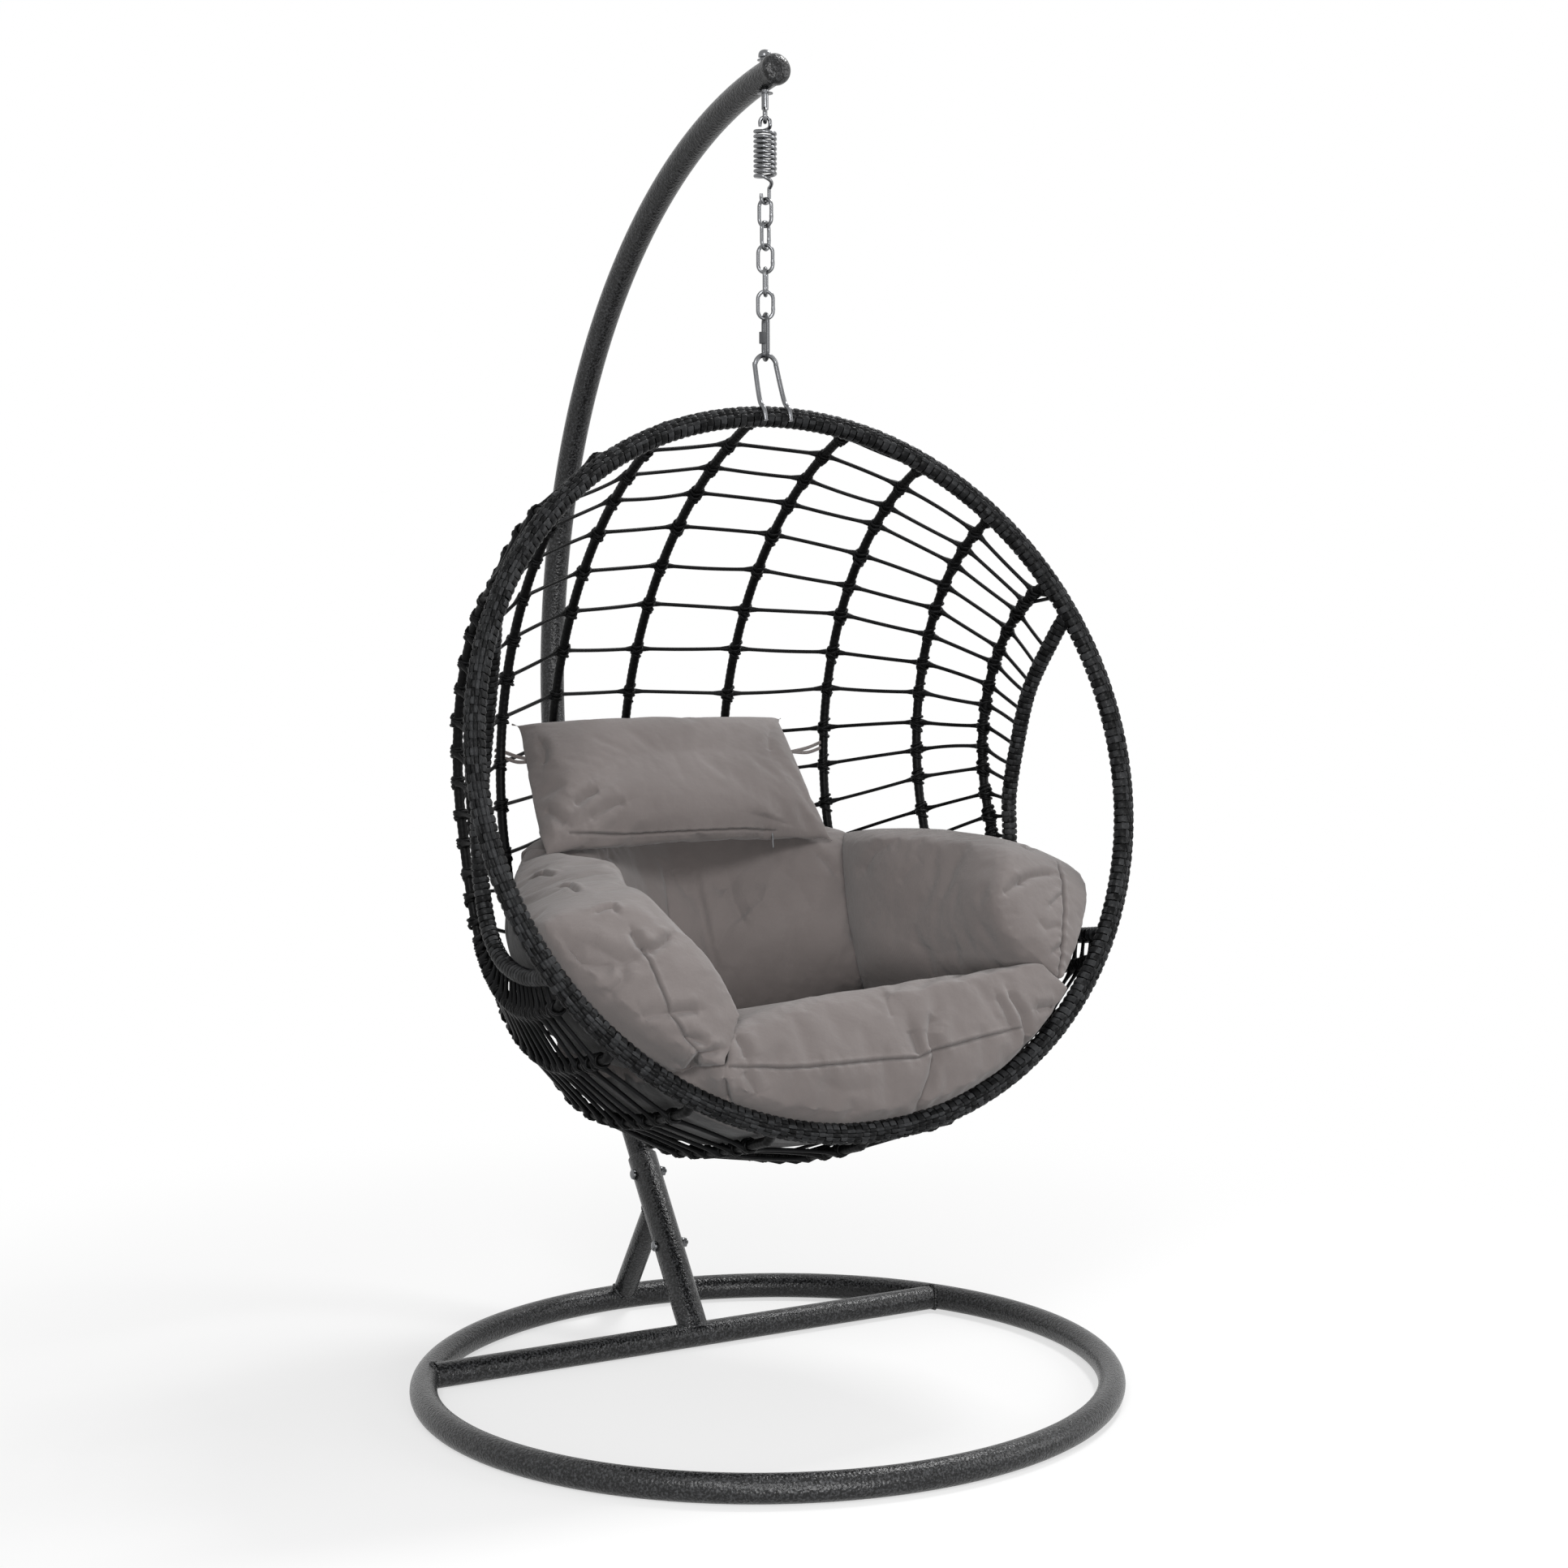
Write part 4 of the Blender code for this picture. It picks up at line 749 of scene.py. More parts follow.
# the four loops of a knot: which way each leans, how far down the rib it lies, and its radius
knotLoops = ((1, -0.0060, 0.0078), (-1, -0.0018, 0.0090), (1, 0.0018, 0.0090), (-1, 0.0060, 0.0078))
ribs = [ribCurve(order) for order in range(-4, 5)]
for index, route in enumerate(ribs):
    count = int(np.linalg.norm(np.diff(route, axis=0), axis=1).sum() / 0.0030)
    girth = bowl["rib"] / 2 + 0.0004 + 0.0005 * np.abs(np.sin(np.arange(count) * pi / 3.0))
    tones = np.repeat(0.2 + 0.5 * rng.random(count), 10)
    piece(f"rib{index + 1}", swept(resampled(route, count), girth, 10), strandLook, "basket",
          (f"rib_{index + 1}",), sharp=0, tones=tones)


def edgeCurve(side):
    # the hoop above the side bar, the bar, and the hoop below it, where the rows of strands end
    above = [onHoop(angle, side) for angle in np.linspace(60, sideBar["top"], 12)]
    below = [onHoop(angle, side) for angle in np.linspace(sideBar["foot"], 126, 12)]
    return resampled(np.concatenate([above, barCurve(side), below]), 500)


def ribShare(share, order):
    # how far down a rib a row of strands crosses it; the paces even out again towards the foot
    pace = (net["leftPace"] if order < 0 else net["rightPace"])[abs(order)]
    ease = min(max((share - 0.45) / 0.45, 0.0), 1.0)
    return share * (pace + (1 - pace) * ease)


def loopRound(place, way, normal, radius, lean, shift):
    across = np.cross(way, normal)
    spots = []
    for angle in np.linspace(0, 2 * pi, 10, endpoint=False):
        travel = shift + lean * (1 - sin(angle))
        spots.append(place + way * travel + radius * (normal * cos(angle) + across * sin(angle)))
    return swept(spots, net["knotStrand"] / 2, 5, closed=True)


edges = {side: edgeCurve(side) for side in (-1, 1)}
strandParts, strandTones, knotParts, knotTones = [], [], [], []
netFocus = np.array(net["focus"])
for row, share in enumerate(net["shares"]):
    stops = []
    for index, route in enumerate(ribs):
        order = index - 4
        spot = min(ribShare(share, order) * (len(route) - 1) + rng.normal(0, 0.6), len(route) - 4)
        low = int(spot)
        way = route[low + 1] - route[low]
        place = route[low] + way * (spot - low)
        way = way / np.linalg.norm(way)
        normal = netFocus - place
        normal -= way * normal.dot(way)
        normal /= np.linalg.norm(normal)
        flip = 1 if order < 0 else -1
        size = 1 + 0.07 * rng.normal()
        for lean, shift, radius in knotLoops:
            tilt = flip * lean * net["knotLean"] * (1 + 0.25 * rng.normal())
            knotParts.append(loopRound(place, way, normal, radius * size, tilt, shift))
            knotTones.append(np.full(len(knotParts[-1][0]), 0.25 + 0.75 * rng.random()))
        stops.append(place - normal * net["strandBack"])
    drop = net["edgeDrop"] * max(0.0, 1 - row / net["edgeRows"])
    ends = []
    for side, outer in ((-1, stops[0]), (1, stops[-1])):
        edge = edges[side]
        nearest = int(np.argmin(np.linalg.norm(edge - outer, axis=1)))
        ends.append(edge[min(nearest + int(drop / np.linalg.norm(edge[1] - edge[0])), len(edge) - 1)])
    knots, stops = np.array(stops), [ends[0], *stops, ends[1]]
    path = []
    for start, end in zip(stops, stops[1:]):
        droop = rng.normal(0, net["sag"])
        for part in np.linspace(0, 1, 15)[:-1]:
            path.append(start + (end - start) * part + np.array([0, 0, droop * 4 * part * (1 - part)]))
    path.append(stops[-1])
    # each strand thickens where it is tied to a rib
    gap = np.linalg.norm(np.array(path)[:, None] - knots[None], axis=2).min(axis=1)
    girth = net["strand"] / 2 * (1 + net["flare"] * np.exp(-(gap / net["flareReach"]) ** 2))
    strandParts.append(swept(path, girth, 6))
    strandTones.append(np.full(len(strandParts[-1][0]), 0.4 + 0.6 * rng.random()))
panels = tuple(f"net_panel_{index}" for index in range(1, 11))
piece("strands", joined(strandParts), strandLook, "basket", panels, sharp=0,
      tones=np.concatenate(strandTones))
piece("knots", joined(knotParts), strandLook, "basket", sharp=0, tones=np.concatenate(knotTones))
print("ribs and strands made")

# the loop that the basket hangs by, from behind the hoop up through the quick link and down again
loopArch = quickTop - gear["quickLength"] + gear["quickWire"] + gear["play"] + gear["loopWire"] / 2
shoulder = loopArch - gear["loopTopHalf"]
leftFoot, rightFoot = ([fromHoop(side * gear["loopFootHalf"] * out, hoop["radius"] + rise, back)
                        for out, rise, back in ((1.0, -0.012, -0.0205), (1.0, 0.006, -0.0195), (0.98, 0.022, -0.010))]
                       for side in (-1, 1))
arch = [up(shoulder + gear["loopTopHalf"] * sin(a), gear["loopTopHalf"] * cos(a)) for a in np.linspace(pi, 0, 13)]
loopRoute = smoothed(leftFoot + arch + rightFoot[::-1], 120)
piece("hangingLoop", swept(loopRoute, gear["loopWire"] / 2, 16), zincLook, "basket", ("basket_loop",))
print("hanging loop made")


# two entries here set where painted shade darkens a cushion's back: how far back from the hoop, and within what gap of
# the basket
filling = {"cells": 26, "rimRows": 6, "voxel": 0.0070, "start": 0.004, "pressure": 4.0, "growth": -0.014,
           "swell": 0.015, "soften": 8, "belly": 0.010, "fill": 1.02, "pull": 0.012,
           "seamFrom": 0.66, "seamTo": 0.70, "paintedShadeFrom": 0.07, "paintedShadeGap": 0.055,
           "mass": 0.25, "stretch": 18, "shear": 8, "bend": 2.5, "frames": 20}
# each section's rows of places run from the left to the right as the sitter sees them, in the ring's frame
sections = {
    "cushionBack": {
        "node": "cushion_back", "thick": 0.150,
        "sides": (0.10, 0.10, 5), "ends": (0.06, 0.10, 5), "gap": 0.026,
        "rows": (((-0.262, 0.23, 0.80), (0.0, 0.35, 0.835), (0.262, 0.23, 0.80)),
                 ((-0.262, 0.21, 0.68), (0.0, 0.30, 0.66), (0.262, 0.21, 0.68)),
                 ((-0.25, 0.15, 0.55), (0.0, 0.20, 0.52), (0.25, 0.15, 0.55)))},
    "cushionArmRight": {
        "node": "cushion_arm_right", "thick": 0.190, "rounded": 0.17,
        "sides": (0.10, 0.155, 6), "ends": (0.06, 0.13, 4), "gap": 0.036,
        "rows": (((0.262, 0.23, 0.80), (0.40, 0.04, 0.785), (0.425, -0.165, 0.785)),
                 ((0.262, 0.21, 0.68), (0.39, 0.02, 0.68), (0.425, -0.228, 0.69)),
                 ((0.25, 0.15, 0.55), (0.315, -0.04, 0.54), (0.388, -0.294, 0.56)))},
    "cushionArmLeft": {
        "node": "cushion_arm_left", "thick": 0.190,
        "sides": (0.125, 0.10, 5), "ends": (0.06, 0.13, 4), "gap": 0.036,
        "rows": (((-0.42, -0.175, 0.745), (-0.40, 0.04, 0.735), (-0.262, 0.23, 0.80)),
                 ((-0.40, -0.262, 0.62), (-0.38, 0.01, 0.65), (-0.262, 0.21, 0.68)),
                 ((-0.255, -0.318, 0.50), (-0.28, -0.05, 0.545), (-0.25, 0.15, 0.55)))},
    "cushionSeat": {
        "node": "cushion_seat", "thick": 0.185,
        "sides": (0.09, 0.08, 2.4), "ends": (0.10, 0.165, 6), "gap": 0.0185,
        "rows": (((-0.25, 0.15, 0.55), (0.0, 0.20, 0.52), (0.25, 0.15, 0.55)),
                 ((-0.28, -0.05, 0.545), (0.0, -0.03, 0.50), (0.315, -0.04, 0.54)),
                 ((-0.255, -0.318, 0.50), (0.04, -0.325, 0.455), (0.388, -0.294, 0.56)))},
}
# folds, traced over the photograph: places in the picture, then half width, depth and the roll beside it in mm
folds = {
    "cushionBack": [
        ([(880, 1095), (899, 1090), (904, 1111), (915, 1133)], 12, 7, 4),
        ([(915, 1133), (941, 1111), (947, 1090)], 12, -5, -3),
        ([(829, 1071), (840, 1090), (851, 1106)], 12, 4, 2),
        ([(883, 1170), (899, 1138), (925, 1118)], 11, 4, 3),
        ([(700, 1075), (730, 1068), (758, 1052)], 10, 4, 3),
        ([(960, 1070), (985, 1090), (1000, 1120)], 12, 3, 2),
        ([(1005, 1050), (1020, 1062), (1032, 1080)], 6, 4, 3),
    ],
    "cushionArmRight": [
        ([(1303, 1062), (1310, 1085), (1312, 1121), (1309, 1177), (1301, 1224)], 2.2, 3.4, 1),
        ([(1254, 1088), (1272, 1079), (1299, 1075)], 6, 5, 4),
        ([(1236, 1101), (1250, 1092), (1262, 1085)], 7, 4, 3),
        ([(1294, 1117), (1302, 1108), (1310, 1100)], 4, 3, 2),
        ([(1298, 1174), (1310, 1163)], 4, 3, 2),
        ([(1280, 1133), (1290, 1145), (1308, 1140)], 6, 2, 1.5),
        ([(1232, 1195), (1245, 1215), (1263, 1229), (1303, 1231)], 10, 9, 6),
        ([(1107, 1089), (1121, 1070), (1135, 1056)], 10, 3, 2),
        ([(1062, 1075), (1075, 1052), (1095, 1040)], 10, 4, 3),
        ([(1258, 1040), (1266, 1046), (1272, 1042)], 4, 4, 2),
        ([(1120, 1160), (1150, 1175), (1185, 1172)], 16, 3, 2),
    ],
    "cushionArmLeft": [
        ([(793, 1166), (811, 1207), (827, 1247), (845, 1277), (861, 1298)], 2.2, 3.6, 1.2),
        ([(779, 1146), (788, 1163), (800, 1171)], 6, 9, 6),
        ([(800, 1171), (815, 1163), (830, 1151)], 6, 8, 6),
        ([(733, 1124), (745, 1118), (755, 1116), (761, 1124)], 4, 4, 3),
        ([(700, 1165), (716, 1186), (738, 1189), (757, 1190)], 12, 8, 6),
        ([(723, 1163), (745, 1172), (770, 1184), (790, 1176)], 10, 6, 5),
        ([(771, 1191), (768, 1207), (747, 1229)], 7, 5, 4),
        ([(789, 1254), (806, 1250), (827, 1247)], 8, 5, 4),
        ([(827, 1247), (845, 1245), (862, 1244)], 7, 7, 5),
        ([(845, 1277), (858, 1281), (873, 1287)], 6, 7, 6),
        ([(835, 1319), (850, 1316), (861, 1300), (889, 1293)], 5, 8, 6),
        ([(845, 1333), (870, 1324), (893, 1315)], 5, 6, 4),
        ([(655, 1082), (668, 1076), (682, 1078)], 4, 4, 3),
        ([(688, 1092), (700, 1090), (712, 1098)], 4, 4, 3),
    ],
    "cushionSeat": [
        ([(899, 1314), (973, 1316), (1037, 1311), (1075, 1307), (1131, 1303), (1154, 1294), (1196, 1282),
          (1259, 1266)], 2.2, 3.6, 1.2),
        ([(1124, 1268), (1130, 1285), (1134, 1300)], 8, 7, 5),
        ([(1152, 1250), (1146, 1272), (1152, 1294)], 8, 8, 7),
        ([(1155, 1297), (1150, 1325), (1141, 1350), (1131, 1370)], 7, 8, 6),
        ([(1243, 1220), (1261, 1250), (1268, 1275), (1259, 1299)], 6, 7, 5),
        ([(1228, 1225), (1240, 1245), (1248, 1268)], 7, 5, 4),
        ([(1278, 1243), (1293, 1241), (1309, 1240)], 6, 6, 4),
        ([(888, 1264), (890, 1285), (892, 1309)], 6, 8, 6),
        ([(907, 1275), (917, 1290), (921, 1304)], 7, 6, 5),
        ([(918, 1319), (928, 1336), (936, 1352)], 7, 5, 4),
        ([(893, 1328), (894, 1343), (897, 1359)], 4, 6, 3),
        ([(1088, 1222), (1096, 1240), (1101, 1254)], 8, 3, 3),
        ([(1010, 1330), (1040, 1345), (1075, 1340)], 16, 3, 2),
    ],
    "headPillow": [
        ([(703, 1026), (769, 1029), (845, 1025), (917, 1022), (955, 1024)], 2.2, 4, 1),
        ([(708, 992), (722, 980), (738, 973)], 7, 6, 4),
        ([(726, 1010), (748, 995), (772, 987)], 9, 6, 5),
        ([(669, 998), (684, 1004), (698, 1014)], 8, 6, 4),
        ([(925, 1003), (950, 1010), (975, 1016)], 10, 3, 2),
        ([(664, 912), (670, 925), (668, 942)], 8, 5, 4),
        ([(952, 892), (948, 908), (950, 925)], 8, 4, 3),
    ],
}
# the last entry sets how wide the painted shade along a seam groove spreads
fold = {"marks": 200, "seam": 0.0036, "broad": 0.0058, "groove": 1.35, "broadRoll": 0.5, "farRoll": 0.2,
        "pucker": 0.0006, "puckerPitch": 0.021, "puckerReach": 0.013, "seamShadeReach": 0.0019}
hoopMiddle = np.array(hoopCentre) + [0, ringBack, 0]


def bowlDistance(ways):
    # how far the bowl is from the hoop's centre in each direction
    near, far, widest = np.zeros(len(ways)), np.ones(len(ways)), hoop["radius"] * 0.999
    for _ in range(24):
        middle = (near + far) / 2
        spots = ways * middle[:, None]
        back, high = np.maximum(spots @ np.array(hoopNormal), 0), spots @ np.array(hoopUp)
        wide = np.abs(spots[:, 0])
        safe = np.minimum(wide, widest)
        top = np.sqrt(hoop["radius"] ** 2 - safe ** 2) + bowl["standOff"] * np.minimum(1, back / bowl["root"])
        power = np.where(high > 0, bowl["upperPower"], bowl["lowerPower"])
        inside = (wide < widest) & ((np.abs(high) / top) ** power + (back / bowlReach(safe)) ** power < 1)
        near, far = np.where(inside, middle, near), np.where(inside, far, middle)
    return near


def edgeShare(mark, edge, thick):
    first, last, shoulder = edge
    return 1 - (1 - np.where(mark < 0, first, last) / thick) * np.abs(mark) ** shoulder


def rimOf(cells):
    # the row and column of each point round a square grid
    return ([(0, i) for i in range(cells)] + [(i, cells) for i in range(cells)]
            + [(cells, cells - i) for i in range(cells)] + [(cells - i, 0) for i in range(cells)])


def weigh(t):
    # the shares of a row of three places at t, from -1 to 1
    return np.stack([t * (t - 1) / 2, 1 - t * t, t * (t + 1) / 2])


def sectionShape(part):
    # a stuffed section that lies on the bowl, seen from the hoop's centre, with a boxed rim
    cells, deep, centre = filling["cells"], filling["rimRows"], np.array(hoopCentre)
    marks = np.linspace(-1, 1, cells + 1)
    w, u = [grid.ravel() for grid in np.meshgrid(marks, marks, indexing="ij")]
    # the front top corner of an arm is cut rounder than the rest
    corner = 1 - part.get("rounded", 0.0) * (np.clip(u, 0, 1) * np.clip(-w, 0, 1)) ** 2.5
    drawnU = u * filling["fill"] * (1 - filling["pull"] * (1 - w * w) * np.abs(u) ** 3) * corner
    drawnW = w * filling["fill"] * (1 - filling["pull"] * (1 - u * u) * np.abs(w) ** 3) * corner
    spots = np.einsum("in,jn,ijk->nk", weigh(drawnW), weigh(drawnU), np.array(part["rows"]))
    ways = spots - centre
    ways /= np.linalg.norm(ways, axis=1, keepdims=True)
    reach = bowlDistance(ways) - part["gap"]
    crown = edgeShare(u, part["sides"], part["thick"]) * edgeShare(w, part["ends"], part["thick"])
    inner = reach - part["thick"] * crown
    outer = reach - filling["belly"] * (1 - crown)
    verts = np.concatenate([centre + ways * (inner + (outer - inner) * share)[:, None]
                            for share in np.linspace(0, 1, deep + 1)])
    side, count = cells + 1, (cells + 1) ** 2
    faces = []
    for row in range(cells):
        for column in range(cells):
            first = row * side + column
            square = (first, first + 1, first + side + 1, first + side)
            faces += [square, tuple(deep * count + spot for spot in reversed(square))]
    rim = [row * side + column for row, column in rimOf(cells)]
    for layer in range(0, deep * count, count):
        for before, after in zip([rim[-1]] + rim, rim):
            faces.append((layer + before, layer + count + before, layer + count + after, layer + after))
    return verts, faces


def closedMesh(name, shape):
    # a mesh whose faces all look outward, without loose points
    mesh, work = meshOf(name, shape), bmesh.new()
    work.from_mesh(mesh)
    bmesh.ops.recalc_face_normals(work, faces=work.faces)
    bmesh.ops.delete(work, geom=[vert for vert in work.verts if not vert.link_faces], context="VERTS")
    work.to_mesh(mesh)
    work.free()
    return mesh


def applied(thing):
    graph = bpy.context.evaluated_depsgraph_get()
    made = bpy.data.meshes.new_from_object(thing.evaluated_get(graph))
    thing.modifiers.clear()
    thing.data = made


def pointsOf(mesh, what="co"):
    values = np.empty(len(mesh.vertices) * 3, np.float32)
    mesh.vertices.foreach_get(what, values)
    return values.reshape(-1, 3).astype(float)


def placed(mesh, spots):
    mesh.vertices.foreach_set("co", np.asarray(spots, np.float32).ravel())
    mesh.update()


def hullOf(mesh):
    return BVHTree.FromPolygons([tuple(spot) for spot in pointsOf(mesh)],
                                [tuple(face.vertices) for face in mesh.polygons])


def plumped(thing, pinned):
    # swell the cushion with a short cloth run; its seams are held, and no point moves far
    before = pointsOf(thing.data)
    group = thing.vertex_groups.new(name="seams")
    for index in np.nonzero(pinned)[0].tolist():
        group.add([index], 1.0, "REPLACE")
    cloth = thing.modifiers.new("filling", "CLOTH")
    settings = cloth.settings
    settings.quality, settings.mass = 5, filling["mass"]
    settings.tension_stiffness = settings.compression_stiffness = filling["stretch"]
    settings.shear_stiffness, settings.bending_stiffness = filling["shear"], filling["bend"]
    settings.use_pressure, settings.uniform_pressure_force = True, filling["pressure"]
    settings.shrink_min = filling["growth"]
    settings.vertex_group_mass = "seams"
    settings.effector_weights.gravity = 0
    cloth.point_cache.frame_start, cloth.point_cache.frame_end = 1, filling["frames"]
    for frameNumber in range(1, filling["frames"] + 1):
        scene.frame_set(frameNumber)
    applied(thing)
    scene.frame_set(1)
    move = pointsOf(thing.data) - before
    far = np.linalg.norm(move, axis=1, keepdims=True)
    placed(thing.data, before + move * np.minimum(1, filling["swell"] / np.maximum(far, 1e-9)))


def tracedOn(mesh, creases):
    # where each traced fold falls on the side of the cushion that faces the camera
    hull, lines = hullOf(mesh), []
    for places, *sizes in creases:
        route = resampled([(x, y, 0.0) for x, y in places], fold["marks"])
        hits = [hull.ray_cast(*photoRay(x, y)) for x, y, _ in route]
        marks = np.array([(*hit[0], *hit[1]) for hit in hits if hit[0] is not None])
        if len(marks) > 20:
            lines.append((marks[:, :3], marks[:, 3:], *(size * 0.001 for size in sizes)))
    return lines


def within(spots, marks, reach):
    # the numbers of the spots that may lie within reach of the marks
    return np.nonzero(((spots > marks.min(0) - reach) & (spots < marks.max(0) + reach)).all(axis=1))[0]


def finerNear(mesh, lines):
    # smaller faces where a fold needs them, and smaller again at a seam
    for seamsOnly in (False, True):
        work = bmesh.new()
        work.from_mesh(mesh)
        centres = np.array([face.calc_center_median() for face in work.faces])
        close = np.zeros(len(centres), bool)
        for marks, _, width, *_ in lines:
            if seamsOnly and width > fold["seam"]:
                continue
            reach = 2.6 * width + 0.003
            near = within(centres, marks, reach)
            gap = np.linalg.norm(centres[near, None] - marks[None], axis=2).min(axis=1)
            close[near[gap < reach]] = True
        work.faces.ensure_lookup_table()
        edges = {edge for index in np.nonzero(close)[0].tolist() for edge in work.faces[index].edges}
        edges = sorted(edges, key=lambda edge: edge.index)
        bmesh.ops.subdivide_edges(work, edges=edges, cuts=1, use_grid_fill=True)
        work.to_mesh(mesh)
        work.free()


def folded(mesh, creases):
    # press each traced fold into the cloth, with a roll beside it, and paint shade along the bottom of each seam groove
    lines = tracedOn(mesh, creases)
    finerNear(mesh, lines)
    spots, ways = pointsOf(mesh), pointsOf(mesh, "normal")
    lift, seamShade = np.zeros(len(spots)), np.zeros(len(spots))
    for marks, facing, width, depth, roll in lines:
        close = within(spots, marks, 6 * width)
        gap = np.linalg.norm(spots[close, None] - marks[None], axis=2)
        nearest = gap.argmin(axis=1)
        side = np.cross(facing, np.gradient(marks, axis=0))
        side /= np.linalg.norm(side, axis=1, keepdims=True) + 1e-12
        offset = ((spots[close] - marks[nearest]) * side[nearest]).sum(axis=1)
        share = nearest / (len(marks) - 1)
        beyond = np.sqrt(np.maximum(gap.min(axis=1) ** 2 - offset ** 2, 0))
        taper = np.clip(np.minimum(share, 1 - share) * 6 + 0.35, 0, 1) * np.exp(-(beyond / (1.5 * width)) ** 2)
        outward = np.clip((ways[close] * facing[nearest]).sum(axis=1), 0, 1)
        groove = -fold["groove"] * depth * np.exp(-np.abs(offset / width) ** 1.3)
        nearRoll, farRoll = (np.exp(-((offset + way * 2.0 * width) / (1.4 * width)) ** 2) for way in (-1, 1))
        nearShare = fold["broadRoll"] if width > fold["broad"] else 1.0
        rolled = nearShare * roll * nearRoll + fold["farRoll"] * roll * farRoll
        lift[close] += (groove + rolled) * taper * outward
        if width < fold["seam"]:
            # puckers cross a seam every couple of centimetres
            run = share * np.linalg.norm(np.diff(marks, axis=0), axis=1).sum()
            pucker = np.sin(run * 2 * pi / fold["puckerPitch"] + 2.0 * np.sin(run * 37.0))
            lift[close] += fold["pucker"] * pucker * np.exp(-(offset / fold["puckerReach"]) ** 2) * outward
            # dark painted shade along the middle of the seam groove
            seamShading = np.exp(-(offset / fold["seamShadeReach"]) ** 2) * outward * (taper > 0.3)
            seamShade[close] = np.maximum(seamShade[close], seamShading)
    placed(mesh, spots + ways * lift[:, None])
    return seamShade


def stuffed(name, shape, node, shadedBack=True):
    thing = bpy.data.objects.new(name, closedMesh(name, shape))
    scene.collection.objects.link(thing)
    remesh = thing.modifiers.new("even", "REMESH")
    remesh.mode, remesh.voxel_size = "VOXEL", filling["voxel"]
    relax = thing.modifiers.new("relax", "SMOOTH")
    relax.factor, relax.iterations = 0.5, filling["soften"]
    applied(thing)
    placed(thing.data, pointsOf(thing.data) - pointsOf(thing.data, "normal") * filling["start"])
    spots, ways = pointsOf(thing.data), pointsOf(thing.data, "normal")
    # the boxed rim's two edges are its seams
    toCentre = hoopMiddle - spots
    toCentre /= np.linalg.norm(toCentre, axis=1, keepdims=True)
    slant = np.abs((ways * toCentre).sum(axis=1))
    plumped(thing, (slant > filling["seamFrom"]) & (slant < filling["seamTo"]))
    finer = thing.modifiers.new("finer", "SUBSURF")
    finer.levels = finer.render_levels = 1
    applied(thing)
    mesh = thing.data
    # the side that lies on the basket, back from the hoop, is painted near-black as painted shade
    outward = pointsOf(mesh) - hoopMiddle
    back, far = outward @ np.array(hoopNormal), np.linalg.norm(outward, axis=1)
    outward /= far[:, None]
    under = bowlDistance(outward) - far
    paintedShade = np.clip(((pointsOf(mesh, "normal") * outward).sum(axis=1) - 0.5) / 0.2, 0, 1)
    paintedShade *= np.clip((filling["paintedShadeGap"] - under) / 0.01, 0, 1)
    paintedShade *= np.clip((back - filling["paintedShadeFrom"]) / 0.01, 0, 1)
    addLayer(mesh, "paintedShade", paintedShade if shadedBack else 0 * paintedShade)
    addLayer(mesh, "seamShade", folded(mesh, folds[name]))
    mesh.materials.clear()
    mesh.materials.append(canvasLook)
    mesh.shade_smooth()
    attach(thing, "basket")
    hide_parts(node)
    return thing


for name, part in sections.items():
    stuffed(name, sectionShape(part), part["node"])
    print(name, "stuffed")


pillow = {"centre": (-0.014, 0.267, 0.881), "lean": 42.0, "halfWidth": 0.258, "halfHeight": 0.132,
          "crown": 0.060, "backCrown": 0.034, "cells": 30, "edge": 0.004, "waist": 0.06,
          "right": 0.91, "rightSlope": 0.015, "rightDraw": 0.08, "rightEar": 0.04,
          "left": 1.03, "leftSlope": 0.065, "leftEar": 0.11, "earReach": 0.07}
tie = {"start": (0.2305, 0.2995, 0.921), "end": (0.253, 0.311, 0.932), "width": 0.0055, "tuck": 0.012,
       "round": 0.0085, "strands": ((0.0, 0.002), (0.009, 0.005))}
zipTab = {"place": (951, 1026), "length": 0.022, "thick": 0.0012, "off": 0.0022}


def pillowShape():
    # the right edge is drawn in, the left one slopes out, and both top corners are pinched ears
    cells, place = pillow["cells"], (Matrix.Translation(pillow["centre"])
                                     @ Matrix.Rotation(radians(90 - pillow["lean"]), 4, "X"))
    marks = np.linspace(-1, 1, cells + 1)
    verts, faces = [], []
    for i, u in enumerate(marks):
        for j, w in enumerate(marks):
            ear = exp(-((1 - w) / pillow["earReach"]) ** 2)
            if u > 0:
                drawn = (pillow["right"] - pillow["rightSlope"] * max(w, 0) - pillow["rightDraw"] * (1 - w * w)
                         + pillow["rightEar"] * ear)
            else:
                drawn = pillow["left"] - pillow["leftSlope"] * (1 + w) + pillow["leftEar"] * ear
            x = u * pillow["halfWidth"] * (1 + (drawn - 1) * u * u)
            z = w * pillow["halfHeight"] * (1 - pillow["waist"] * (1 - abs(u) ** 7))
            crown = sqrt(max(0.0, 1 - u ** 4)) * max(0.0, 1 - w * w) ** 0.62
            if i in (0, cells) or j in (0, cells):
                crown = 0.0
            verts.append(place @ Vector((x, z, pillow["crown"] * crown + pillow["edge"])))
            verts.append(place @ Vector((x, z, -pillow["backCrown"] * crown - pillow["edge"])))

    def front(i, j):
        return 2 * (i * (cells + 1) + j)

    for i in range(cells):
        for j in range(cells):
            ring = [front(i, j), front(i + 1, j), front(i + 1, j + 1), front(i, j + 1)]
            faces += [tuple(ring), tuple(spot + 1 for spot in reversed(ring))]
    rim = [front(i, j) for j, i in rimOf(cells)]
    for before, after in zip([rim[-1]] + rim, rim):
        faces.append((before, before + 1, after + 1, after))
    return np.array(verts), faces


